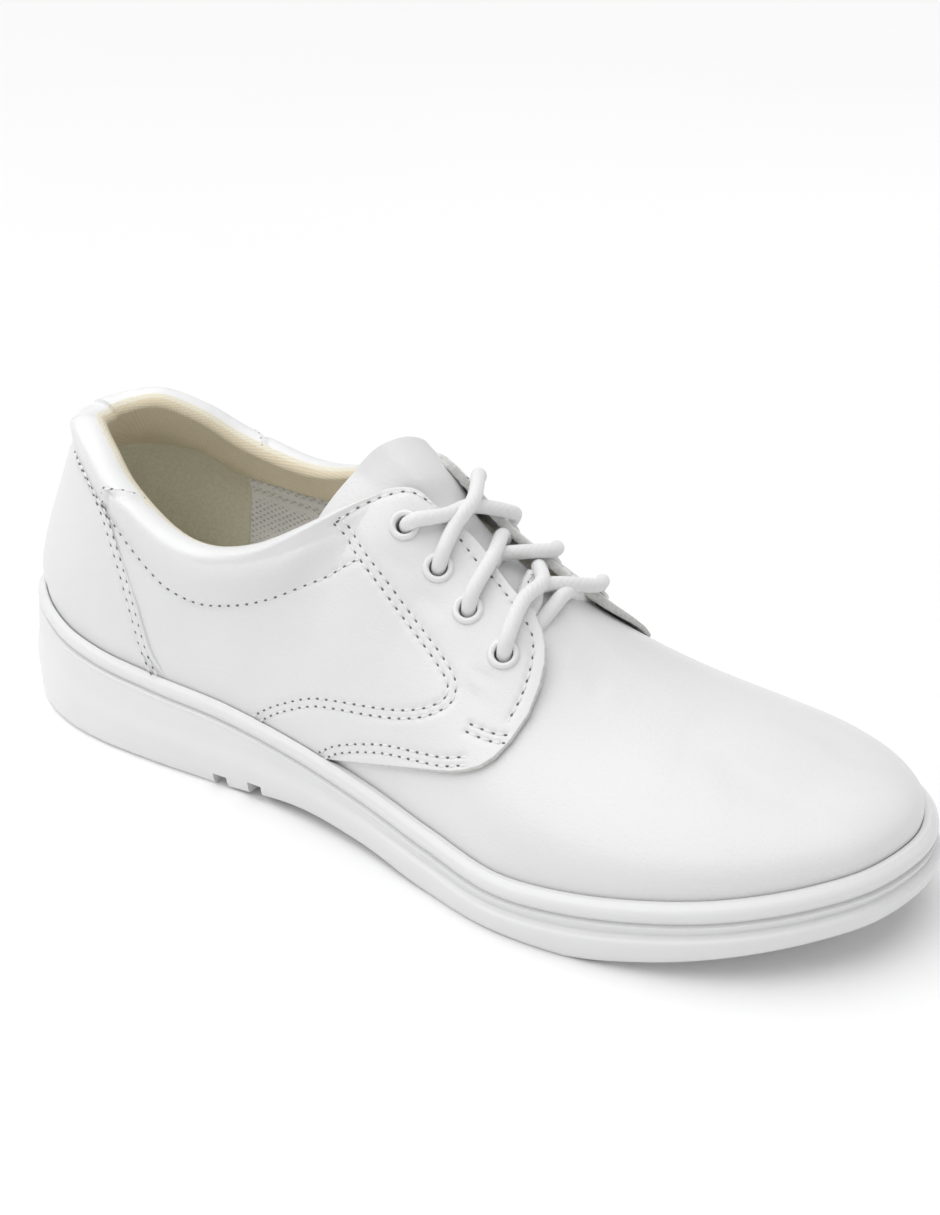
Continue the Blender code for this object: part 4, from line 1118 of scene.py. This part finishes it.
def footbed(name, materials):
    """The insole, cupped round the heel."""
    side = np.linspace(0, 1, 201)
    outer = foot_line(side) - outward(side) * (WALL + 0.5 * MM)
    inner = foot_line(2 - side) - outward(2 - side) * (WALL + 0.5 * MM)
    share = np.linspace(0, 1, 41)[None, :, None]
    low = outer[:, None] * (1 - share) + inner[:, None] * share - UP * SEAT_DEPTH
    heel = smooth((side - 0.5) / 0.25)[:, None]
    across = np.abs(2 * share[..., 0] - 1)
    cup = np.maximum(smooth((across - 0.45) / 0.5), smooth((side[:, None] - 0.93) / 0.06))
    rise = INSOLE + heel * (FOOTBED_HEEL + FOOTBED_CUP * cup)
    high = low + UP * rise[..., None]
    return wall(name, high, low, sheet_faces(*low.shape[:2]), materials, 0.1, 2)


def flap_point(s, v, extra=0.0):
    """A point over the side's leather, with the lacing's lift."""
    s, v = np.asarray(float(s)), np.asarray(float(v))
    return skin(s, v, FACE + flap_lift(s, v) + extra)


def eyelet_place(number, inner):
    """Where an eyelet sits on its side: its middle and the leather's direction outwards there."""
    along, up = EYELETS[number - 1]
    s = mirrored(along, inner)
    step = 0.01
    by_s = flap_point(s + step, up) - flap_point(s - step, up)
    by_v = flap_point(s, up + step) - flap_point(s, up - step)
    return flap_point(s, up), unit(np.cross(by_v, by_s))


def turned_points(profile, place, normal, steps):
    """A closed profile of (radius, height) turned round the normal at a place."""
    turn = Vector(normal).to_track_quat("Z", "Y").to_matrix()
    angle = np.linspace(0, 2 * np.pi, steps, endpoint=False)
    profile = np.asarray(profile)
    points = np.stack([
        profile[None, :, 0] * np.cos(angle)[:, None],
        profile[None, :, 0] * np.sin(angle)[:, None],
        profile[None, :, 1] + 0 * angle[:, None],
    ], -1)
    return points @ np.array(turn).T + place


def eyelets(name, inner, materials):
    """The four eyelets of one side: a rounded flange over a short barrel."""
    hole, rim_radius = EYELET_HOLE / 2, EYELET_FLANGE / 2
    turns = np.linspace(0, np.pi, 9)
    middle, half = (hole + rim_radius) / 2, (rim_radius - hole) / 2
    profile = [(middle - half * math.cos(t), EYELET_CROWN * math.sin(t) ** 0.8) for t in turns]
    deep = -(OVERLAY + 0.6 * MM)
    profile += [(hole + EYELET_SHELL, -0.05 * MM), (hole + EYELET_SHELL, deep), (hole, deep)]
    points, faces, start = [], [], 0
    steps, count = 36, len(profile)
    for number in range(1, len(EYELETS) + 1):
        ring = turned_points(profile, *eyelet_place(number, inner), steps)
        index = np.arange(steps * count).reshape(steps, count) + start
        beside, after = np.roll(index, -1, axis=0), np.roll(index, -1, axis=1)
        faces.append(np.stack([index, after, np.roll(after, -1, axis=0), beside], -1).reshape(-1, 4))
        points.append(ring.reshape(-1, 3))
        start += steps * count
    return mesh_object(name, np.concatenate(points), np.concatenate(faces), materials, None, 60)


def cut_eyelet_holes(obj, inner):
    """Holes through a side's leather for its eyelets."""
    work = bmesh.new()
    radius = EYELET_HOLE / 2 + EYELET_SHELL * 0.8
    for number in range(1, len(EYELETS) + 1):
        place, normal = eyelet_place(number, inner)
        turn = Vector(normal).to_track_quat("Z", "Y").to_matrix().to_4x4()
        bmesh.ops.create_cone(
            work, cap_ends=True, segments=32, radius1=radius, radius2=radius, depth=10 * MM,
            matrix=Matrix.Translation(Vector(place)) @ turn,
        )
    subtract(obj, work, "eyelet holes")


def subtract(obj, work, name):
    """Cuts the shape in work from a piece and leaves the result as a plain mesh."""
    mesh = bpy.data.meshes.new(name)
    work.to_mesh(mesh)
    work.free()
    cutter = in_scene(name, mesh)
    modifier = obj.modifiers.new(name, "BOOLEAN")
    modifier.operation = "DIFFERENCE"
    modifier.solver = "EXACT"
    modifier.material_mode = "INDEX"
    modifier.object = cutter
    graph = bpy.context.evaluated_depsgraph_get()
    result = bpy.data.meshes.new_from_object(obj.evaluated_get(graph))
    obj.modifiers.clear()
    old = obj.data
    obj.data = result
    bpy.data.meshes.remove(old)
    bpy.data.objects.remove(cutter)


def tread(obj):
    """The grooves across the sole's underside, those under the waist open at the side."""
    rim_line = side_row(len(SIDE) - 1, np.linspace(0, 2, 801))
    outer, inner = rim_line[:401][::-1], rim_line[400:]
    work = bmesh.new()
    for reach, through in GROOVES:
        x = reach * UPPER_LENGTH - HEEL_CENTRE
        inset = -BEAD if through else GROOVE_INSET
        y0 = np.interp(x, outer[:, 0], outer[:, 1]) + inset
        y1 = np.interp(x, inner[:, 0], inner[:, 1]) - inset
        under = np.interp(x, outer[:, 0], outer[:, 2])
        deep = GROOVE_DEPTH * (NOTCH if through else 1)
        tall = 2 * deep + 4 * GAP
        size = Matrix.Diagonal((GROOVE_WIDTH, y1 - y0, tall, 1))
        place = Matrix.Translation((x, (y0 + y1) / 2, under + deep - tall / 2))
        bmesh.ops.create_cube(work, size=1, matrix=place @ size)
    subtract(obj, work, "tread")


def middle_point(s, v, side, height):
    return over_the_instep(*(np.array([float(x)]) for x in (s, v, side, height)))[0]


def out_of(number, inner, target):
    """A strand that comes up through an eyelet and bends towards its next place."""
    place, normal = eyelet_place(number, inner)
    way = target - place
    way = unit(way - normal * (way @ normal))
    return [
        place - normal * UNDER_EYELET[number - 1] + way * 0.2 * MM,
        place + normal * 0.3 * MM + way * 0.8 * MM,
        place + normal * 2.4 * MM + way * 3.2 * MM,
    ]


def over_edge(number, inner):
    """Where a strand from an eyelet passes over its flap's edge."""
    s = mirrored(LACE_OVER[inner][number - 1], inner)
    return flap_point(s, edge(s) - 0.01, LACE / 2 + 0.1 * MM)


def under_flap(number, inner):
    """The way in under a flap to an eyelet, from the middle."""
    along, up = EYELETS[number - 1]
    start = LACE_UNDER[inner][number - 1]
    s = mirrored(start, inner)
    gate = float(edge(s))
    side = 1 if inner else -1
    under = LAY + float(flap_lift(s, gate)) - FLAP_LINING - LACE / 2 + 0.4 * MM
    return [
        middle_point(start, gate + 0.30 * (1 - gate), side, under + 0.8 * MM),
        middle_point(start, gate - 0.02, side, under),
        middle_point((start + along) / 2, (gate + up) / 2, side, under - 0.8 * MM),
    ]


def crossing(number, inner):
    """The middle of the strand from an eyelet to the next pair."""
    along, up, side, under, over = CROSSINGS[number - 2]
    return middle_point(along, up, side, under if inner else over)


def strand(number, inner):
    """From an eyelet over the flap's edge and the tongue, and in under the other flap or over its edge."""
    over = over_edge(number, inner)
    route = out_of(number, inner, over) + [over, crossing(number, inner)]
    if number > 2:
        return route + under_flap(number - 1, not inner)
    far = over_edge(1, not inner)
    place, normal = eyelet_place(1, not inner)
    return route + [far] + out_of(1, not inner, far)[::-1] + [place - normal * 6.0 * MM]


def lace_route():
    """The lace's whole way, from its hidden end at the far top eyelet to the one at the near top eyelet."""
    paths = []
    for inner in (False, True):
        paths.append(strand(4, inner) + strand(3, not inner) + strand(2, inner))
    bar = [middle_point(*row) for row in BAR]
    return paths[0][::-1] + bar + paths[1]


def flowing(points, step):
    """An even curve through the points of a route."""
    points = np.array(points)
    keep = np.concatenate([[True], np.linalg.norm(np.diff(points, axis=0), axis=-1) > 0.8 * MM])
    points = points[keep]
    run = run_along(points, 0.7)
    slope = np.zeros_like(points)
    gap = np.diff(run)[:, None]
    rate = np.diff(points, axis=0) / gap
    slope[1:-1] = (rate[:-1] * gap[1:] + rate[1:] * gap[:-1]) / (gap[1:] + gap[:-1])
    slope[0], slope[-1] = rate[0], rate[-1]
    want = np.linspace(0, run[-1], 40 * len(points))
    i = np.clip(np.searchsorted(run, want, side="right") - 1, 0, len(run) - 2)
    h = gap[i]
    t = ((want - run[i])[:, None]) / h
    curve = between(points[i], points[i + 1], slope[i], slope[i + 1], h, t)
    length = run_along(curve)
    places = np.linspace(0, length[-1], int(length[-1] / step))
    return points_at(places, length, curve), length[-1]


def cord_mesh(name, route, radius, material, around=16):
    """A round cord along a route, with a UV map that runs along it and round it in metres."""
    path, length = flowing(route, LACE_STEP)
    way = unit(np.gradient(path, axis=0))
    side = unit(np.cross(way[0], UP))
    sides = []
    for direction in way:
        side = unit(side - direction * (side @ direction))
        sides.append(side)
    sides = np.array(sides)
    others = np.cross(way, sides)
    angle = np.linspace(0, 2 * np.pi, around, endpoint=False)
    ring = np.cos(angle)[None, :, None] * sides[:, None] + np.sin(angle)[None, :, None] * others[:, None]
    points = (path[:, None] + ring * radius).reshape(-1, 3)
    count = len(path)
    faces = band_faces(count, around).tolist()
    faces.append(list(range(around))[::-1])
    faces.append(list(range((count - 1) * around, count * around)))
    mesh = bpy.data.meshes.new(name)
    mesh.from_pydata(points.tolist(), [], faces)
    mesh.materials.append(material)
    run = np.linspace(0, length, count)
    turns = np.arange(around + 1) * 2 * np.pi * radius / around
    layer = mesh.uv_layers.new(name="weave")
    grid = np.stack(np.broadcast_arrays(run[:, None], turns[None]), -1)
    uv = np.concatenate([cells_of(grid).reshape(-1, 2), np.zeros((2 * around, 2))])
    layer.data.foreach_set("uv", uv.reshape(-1).astype(np.float32))
    mesh.shade_smooth()
    return in_scene(name, mesh)


def stitch_tree(name, material, segments, rings):
    """Geometry nodes that set one small rounded body on each point, turned along its way."""
    tree = bpy.data.node_groups.new(name, "GeometryNodeTree")
    tree.interface.new_socket("Geometry", in_out="INPUT", socket_type="NodeSocketGeometry")
    for socket in ("Length", "Width", "Height"):
        tree.interface.new_socket(socket, in_out="INPUT", socket_type="NodeSocketFloat")
    tree.interface.new_socket("Geometry", in_out="OUTPUT", socket_type="NodeSocketGeometry")
    nodes, link = tree.nodes, tree.links.new
    given = nodes.new("NodeGroupInput")
    result = nodes.new("NodeGroupOutput")
    ball = nodes.new("GeometryNodeMeshUVSphere")
    ball.inputs["Segments"].default_value = segments
    ball.inputs["Rings"].default_value = rings
    ball.inputs["Radius"].default_value = 0.5
    size = nodes.new("ShaderNodeCombineXYZ")
    for axis, socket in zip("XYZ", ("Length", "Width", "Height")):
        link(given.outputs[socket], size.inputs[axis])
    shape = nodes.new("GeometryNodeTransform")
    link(ball.outputs["Mesh"], shape.inputs["Geometry"])
    link(size.outputs["Vector"], shape.inputs["Scale"])
    turns = []
    for attribute, axis in (("way", "X"), ("out", "Z")):
        read_in = nodes.new("GeometryNodeInputNamedAttribute")
        read_in.data_type = "FLOAT_VECTOR"
        read_in.inputs["Name"].default_value = attribute
        turns.append(nodes.new("FunctionNodeAlignRotationToVector"))
        turns[-1].axis = axis
        link(read_in.outputs["Attribute"], turns[-1].inputs["Vector"])
    first, second = turns
    second.pivot_axis = "X"
    link(first.outputs["Rotation"], second.inputs["Rotation"])
    vary = nodes.new("FunctionNodeRandomValue")
    vary.data_type = "FLOAT_VECTOR"
    vary.inputs["Min"].default_value = (0.92, 0.92, 0.9)
    vary.inputs["Max"].default_value = (1.06, 1.08, 1.1)
    vary.inputs["Seed"].default_value = 7
    place = nodes.new("GeometryNodeInstanceOnPoints")
    link(given.outputs["Geometry"], place.inputs["Points"])
    link(shape.outputs["Geometry"], place.inputs["Instance"])
    link(second.outputs["Rotation"], place.inputs["Rotation"])
    link(vary.outputs["Value"], place.inputs["Scale"])
    real = nodes.new("GeometryNodeRealizeInstances")
    link(place.outputs["Instances"], real.inputs["Geometry"])
    paint = nodes.new("GeometryNodeSetMaterial")
    paint.inputs["Material"].default_value = material
    link(real.outputs["Geometry"], paint.inputs["Geometry"])
    link(paint.outputs["Geometry"], result.inputs["Geometry"])
    return tree


def set_on(name, tree, points, ways, outs, sizes):
    """The mesh that a stitch tree makes on these points."""
    mesh = bpy.data.meshes.new(name + "_points")
    mesh.from_pydata(points.tolist(), [], [])
    for attribute, values in (("way", ways), ("out", outs)):
        layer = mesh.attributes.new(attribute, "FLOAT_VECTOR", "POINT")
        layer.data.foreach_set("vector", values.reshape(-1).astype(np.float32))
    guide = in_scene(name + "_points", mesh)
    modifier = guide.modifiers.new("stitches", "NODES")
    modifier.node_group = tree
    for item in tree.interface.items_tree:
        if item.in_out == "INPUT" and item.name in sizes:
            modifier[item.identifier] = sizes[item.name]
    graph = bpy.context.evaluated_depsgraph_get()
    result = bpy.data.meshes.new_from_object(guide.evaluated_get(graph))
    bpy.data.objects.remove(guide)
    result.name = name
    result.shade_smooth()
    return in_scene(name, result)


def stitch_places(s, v, height_of):
    """The stitches along a line (s, v) and the needle holes between them, where dark shade is painted."""
    s, v = evenly(s, v, STITCH / 2)
    return stitches_on(skin(s, v, height_of(s, v)), last_normal(s, v))


def stitches_on(line, directions):
    """Middles of the stitches and of the needle holes between them along a line, with their directions."""
    run = run_along(line)
    want = np.linspace(0, run[-1], int(round(run[-1] / STITCH * 2)) + 1)
    points, outs = points_at(want, run, line), points_at(want, run, directions)
    ways = unit(np.gradient(points, axis=0))
    odd = np.arange(len(want)) % 2 == 1
    return (points[odd], ways[odd], outs[odd]), (points[~odd], ways[~odd], outs[~odd])


def sewn_rows():
    """Every row of stitches on the outside, as the places of its stitches and needle holes."""
    def on_side(s, v):
        return FACE + flap_lift(s, v) + puff(s, v) - STITCH_DENT

    def on_counter(s, v):
        return FACE + COUNTER_STEP + puff(s, v) - STITCH_DENT

    found = []
    for inner in (False, True):
        found += [stitch_places(s, v, on_side) for s, v in seams(inner)]
        found += [stitch_places(s, v, on_counter) for s, v in doubled(*line_on(COUNTER_ROW, inner))]
        line, outs = heel_seam(inner, HEEL_ROW_BACK)
        found.append(stitches_on(line - outs * 0.1 * MM, outs))
        found.append(stitch_places(*line_on(THROAT_ROW, inner), lambda s, v: 0 * s - 0.1 * MM))
    return found


class Value:
    """A shader socket that Python's arithmetic works on."""

    def __init__(self, shade, socket):
        self.shade = shade
        self.socket = socket

    def reckon(self, operation, *others):
        return self.shade.make("ShaderNodeMath", {"operation": operation}, dict(enumerate((self, *others))))

    def __add__(self, other):
        return self.reckon("ADD", other)

    def __mul__(self, other):
        return self.reckon("MULTIPLY", other)

    def __rsub__(self, other):
        return self.reckon("MULTIPLY", -1).reckon("ADD", other)

    __radd__ = __add__
    __rmul__ = __mul__


class Shade:
    """A material and the nodes that vary its look."""

    def __init__(self, name, **constants):
        self.material = bpy.data.materials.new(name)
        self.material.use_nodes = True
        self.tree = self.material.node_tree
        self.shader = self.tree.nodes["Principled BSDF"]
        for key, value in constants.items():
            self.shader.inputs[key.replace("_", " ")].default_value = value

    def make(self, kind, settings, given, output=0):
        """Any node: its settings, then its sockets' values or links; its output comes back."""
        node = self.tree.nodes.new(kind)
        for key, value in settings.items():
            setattr(node, key, value)
        for key, value in given.items():
            if isinstance(value, Value):
                self.tree.links.new(value.socket, node.inputs[key])
            else:
                node.inputs[key].default_value = value
        return Value(self, node.outputs[output])

    def place(self):
        return self.make("ShaderNodeTexCoord", {}, {}, "Object")

    def noise(self, scale, detail=2.0, rough=0.5):
        given = {"Vector": self.place(), "Scale": scale, "Detail": detail, "Roughness": rough}
        return self.make("ShaderNodeTexNoise", {}, given, "Fac")

    def wave(self, scale, direction, vector, distortion=0.0):
        given = {"Vector": vector, "Scale": scale, "Distortion": distortion}
        return self.make("ShaderNodeTexWave", {"bands_direction": direction}, given, "Fac")

    def cells(self, scale, vector, randomness=1.0):
        given = {"Vector": vector, "Scale": scale, "Randomness": randomness}
        return self.make("ShaderNodeTexVoronoi", {}, given, "Distance")

    def stepped(self, value, low, high):
        """0 under low, 1 over high, smooth between."""
        given = {"Value": value, "From Min": low, "From Max": high}
        return self.make("ShaderNodeMapRange", {"interpolation_type": "SMOOTHSTEP"}, given)

    def feed(self, name, value):
        self.tree.links.new(value.socket, self.shader.inputs[name])

    def colour(self, share, first, second):
        """The base colour, from first to second with the share."""
        given = {0: share, 6: (*first, 1), 7: (*second, 1)}
        self.feed("Base Color", self.make("ShaderNodeMix", {"data_type": "RGBA"}, given, 2))

    def bump(self, height, distance):
        given = {"Height": height, "Distance": distance, "Strength": 1.0}
        self.feed("Normal", self.make("ShaderNodeBump", {}, given))


def leather():
    shade = Shade("white_leather", Coat_Roughness=0.25, IOR=1.46)
    cloud = shade.noise(18.0, 3.0)
    shade.colour(shade.stepped(cloud, 0.35, 0.7), WHITE, PALE_WHITE)
    pores = shade.stepped(shade.cells(900.0, shade.place()), 0.0, 0.45)
    fine = shade.noise(1600.0, 2.0)
    wide = shade.noise(160.0, 3.0)
    shade.feed("Roughness", 0.34 + 0.10 * shade.noise(60.0, 3.0))
    shade.feed("Coat Weight", 0.10 + 0.14 * cloud)
    shade.bump(0.45 * pores + 0.35 * fine + 0.9 * wide, 0.00009)
    return shade.material


def suede(name, colour, dark):
    shade = Shade(name, Roughness=0.95, Sheen_Weight=0.25)
    nap = shade.noise(900.0, 3.0, 0.7)
    shade.colour(shade.stepped(nap, 0.3, 0.75), dark, colour)
    shade.bump(nap, 0.0003)
    return shade.material


def woven(name, colour, dark, scale):
    """A close textile: crossed waves along the shoe and up it."""
    shade = Shade(name, Roughness=0.85, Sheen_Weight=0.2)
    where = shade.place()
    weave = shade.wave(scale, "X", where, 0.4) * shade.wave(scale, "Z", where, 0.4)
    shade.colour(weave, dark, colour)
    shade.bump(weave, 0.0001)
    return shade.material


def mesh_lining():
    """White spacer cloth with rows of small dots."""
    shade = Shade("white_mesh_lining", Roughness=0.8, Sheen_Weight=0.2)
    given = {"Vector": shade.place(), "Rotation": (0, 0.7, 0), "Scale": (1, 1, 1.5)}
    dots = shade.cells(480.0, shade.make("ShaderNodeMapping", {}, given), 0.12)
    dots = 1 - shade.stepped(dots, 0.18, 0.42)
    shade.colour(dots, (0.92, 0.92, 0.93), (0.66, 0.66, 0.67))
    shade.bump(1 - dots, 0.0004)
    return shade.material


def moulded():
    shade = Shade("white_moulded_sole", Coat_Roughness=0.2, IOR=1.5)
    cloud = shade.noise(25.0, 3.0)
    shade.colour(cloud, WHITE, PALE_WHITE)
    shade.feed("Roughness", 0.30 + 0.12 * shade.noise(90.0, 3.0))
    shade.feed("Coat Weight", 0.12 + 0.1 * cloud)
    shade.bump(shade.noise(700.0, 2.0) + 1.5 * shade.noise(120.0, 2.0), 0.00004)
    return shade.material


def enamel():
    shade = Shade("white_enamel", Base_Color=(0.83, 0.83, 0.835, 1), Coat_Weight=0.4, Coat_Roughness=0.1)
    shade.feed("Roughness", 0.16 + 0.12 * shade.noise(400.0, 2.0))
    return shade.material


def lace_cloth():
    """A round braid: slanting ribs on the lace's own map."""
    shade = Shade("white_lace", Roughness=0.75, Sheen_Weight=0.3)
    ribs = shade.wave(330.0, "DIAGONAL", shade.make("ShaderNodeUVMap", {"uv_map": "weave"}, {}))
    fine = shade.noise(1800.0, 2.0)
    shade.colour(fine, (0.80, 0.80, 0.80), (0.86, 0.86, 0.86))
    shade.bump(0.6 * ribs + 0.5 * fine, 0.00010)
    return shade.material


def thread():
    shade = Shade("white_thread", Sheen_Weight=0.2)
    shade.colour(shade.noise(2500.0), (0.78, 0.78, 0.77), (0.88, 0.88, 0.87))
    shade.feed("Roughness", 0.5 + 0.2 * shade.noise(900.0))
    return shade.material


# Painted shade: a dark body sits in each needle hole in place of the shade inside it; the leather is not
# pierced there.
def painted_hole_shade():
    shade = Shade("painted_hole_shade", Roughness=0.9)
    shade.colour(shade.noise(900.0), (0.10, 0.10, 0.10), (0.22, 0.22, 0.22))
    return shade.material


def floor_material():
    shade = Shade("pale_floor", Roughness=0.8)
    shade.colour(shade.noise(3.0), (0.93, 0.93, 0.93), (0.95, 0.95, 0.95))
    return shade.material


def aim(obj, place, target):
    obj.location = place
    obj.rotation_euler = (Vector(target) - Vector(place)).to_track_quat("-Z", "Y").to_euler()


def area_light(name, place, target, size, power, spread):
    light = bpy.data.lights.new(name, "AREA")
    light.shape = "DISK"
    light.size = size
    light.energy = power
    light.spread = math.radians(spread)
    aim(in_scene(name, light), place, target)


def studio():
    """A plain pale floor in a pale room, under a soft sky and four soft lights."""
    mesh = bpy.data.meshes.new("floor")
    wide = FLOOR / 2
    corners = [(-wide, -wide, 0), (wide, -wide, 0), (wide, wide, 0), (-wide, wide, 0)]
    mesh.from_pydata(corners, [], [(0, 1, 2, 3)])
    mesh.materials.append(floor_material())
    in_scene("floor", mesh)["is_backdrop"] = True
    world = bpy.data.worlds.new("pale room")
    world.use_nodes = True
    room = world.node_tree.nodes["Background"]
    room.inputs["Color"].default_value = (1, 1, 1, 1)
    room.inputs["Strength"].default_value = ROOM
    bpy.context.scene.world = world
    bpy.context.scene.view_settings.view_transform = "Standard"
    light = bpy.data.lights.new("sky", "SUN")
    light.energy = SKY
    light.angle = math.radians(SKY_ANGLE)
    aim(in_scene("sky", light), SKY_FROM, (0, 0, 0))
    for row in LIGHTS:
        area_light(*row)


def camera():
    """The photograph's angle."""
    turn, rise, roll = (math.radians(a) for a in CAMERA_ANGLES)
    back = np.array([math.sin(turn) * math.cos(rise), -math.cos(turn) * math.cos(rise), math.sin(rise)])
    right = np.array([math.cos(turn), math.sin(turn), 0.0])
    up = np.cross(back, right)
    across_frame = math.cos(roll) * right + math.sin(roll) * up
    up_frame = np.cross(back, across_frame)
    data = bpy.data.cameras.new("camera")
    data.sensor_fit = "VERTICAL"
    data.sensor_height = 36
    data.lens = CAMERA_LENS
    data.clip_start = 0.01
    obj = in_scene("camera", data)
    columns = np.eye(4)
    columns[:3] = np.stack([across_frame, up_frame, back, CAMERA_PLACE], -1)
    obj.matrix_world = Matrix(columns.tolist())
    bpy.context.scene.camera = obj


def linings(cream, beige, heel_suede, cloth):
    """The lining's pieces: mesh on both sides, suede at the heel and the soft band at the collar."""
    steps, heel = np.linspace(0.595, 0.845, 130), np.linspace(0.80, 1.20, 181)
    made = []
    for name, s, depth, material in (
        ("lining_mesh_outer", steps, 0.0, cloth),
        ("lining_mesh_inner", 2 - steps[::-1], 0.0, cloth),
        ("lining_heel", heel, 0.45 * MM, heel_suede),
    ):
        made.append(inner_wall(name, s, BELOW + 0 * s, 0.90 * edge(s), depth, (material,) * 3))
    s = np.linspace(0.575, 1.425, 421)
    low = np.interp(along_of(s), *zip(*LINING_LOW))
    soft = (beige, cream, beige)
    made.append(inner_wall("lining_collar", s, low, edge(s), LINING, soft, LEATHER_END - 0.03))
    return made


def main():
    white = leather()
    grey = suede("grey_suede_flesh", (0.74, 0.74, 0.72), (0.58, 0.58, 0.56))
    cream = woven("cream_piping", (0.80, 0.76, 0.64), (0.74, 0.70, 0.58), 500.0)
    beige = woven("beige_collar_lining", (0.74, 0.66, 0.49), (0.68, 0.60, 0.44), 420.0)
    heel_suede = suede("olive_heel_lining", (0.80, 0.78, 0.64), (0.70, 0.68, 0.54))
    cloth = mesh_lining()
    bed = woven("cream_footbed", (0.74, 0.71, 0.60), (0.62, 0.59, 0.48), 380.0)

    sole = outsole("shoe_sole", (moulded(),))
    tread(sole)
    piece(sole, "moulded_sole", "outsole")
    piece(footbed("shoe_footbed", (bed, bed, bed)), "footbed", "insole")
    piece(vamp("shoe_vamp", (white, grey, cloth)), "leather", "upper")
    for lining in linings(cream, beige, heel_suede, cloth):
        piece(lining, "footbed", "upper")
    for side, inner in (("outer", False), ("inner", True)):
        flap = quarter("shoe_quarter_" + side, inner, (white, grey, grey))
        cut_eyelet_holes(flap, inner)
        piece(flap, "leather", "quarter_" + side)
        names = [f"eyelet_{side}_{number}" for number in range(1, len(EYELETS) + 1)]
        piece(eyelets("shoe_eyelets_" + side, inner, (enamel(),)), "enamelled_eyelet", *names)
    piece(counter("shoe_heel_counter", (white, white, white)), "leather", "heel_counter")
    soft = piece(tongue("shoe_tongue", (white, grey, cloth)), "leather", "tongue")
    lace = cord_mesh("shoe_lace", lace_route(), LACE / 2, lace_cloth())
    piece(lace, "lace", "lace_top_crossing", "lace_middle_crossing", "lace_low_crossing", "lace_bar")

    stitches, holes = zip(*sewn_rows())
    thread_tree = stitch_tree("stitches", thread(), 8, 5)
    # Dark bodies at the needle holes, as painted shade.
    hole_shade_tree = stitch_tree("painted_hole_shades", painted_hole_shade(), 6, 4)
    rows = [np.concatenate(group) for group in zip(*stitches)]
    sizes = {"Length": STITCH_LONG, "Width": THREAD, "Height": THREAD * 0.8}
    piece(set_on("shoe_stitches", thread_tree, *rows, sizes), "leather")
    rows = [np.concatenate(group) for group in zip(*holes)]
    sizes = dict(zip(("Length", "Width", "Height"), HOLE_SHADE_SIZE))
    piece(set_on("shoe_painted_hole_shades", hole_shade_tree, *rows, sizes), "leather")

    studio()
    camera()
    last_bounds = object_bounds()
    sizes = {"cad": [list(c) for c in first_bounds], "visual": [list(c) for c in last_bounds]}


main()
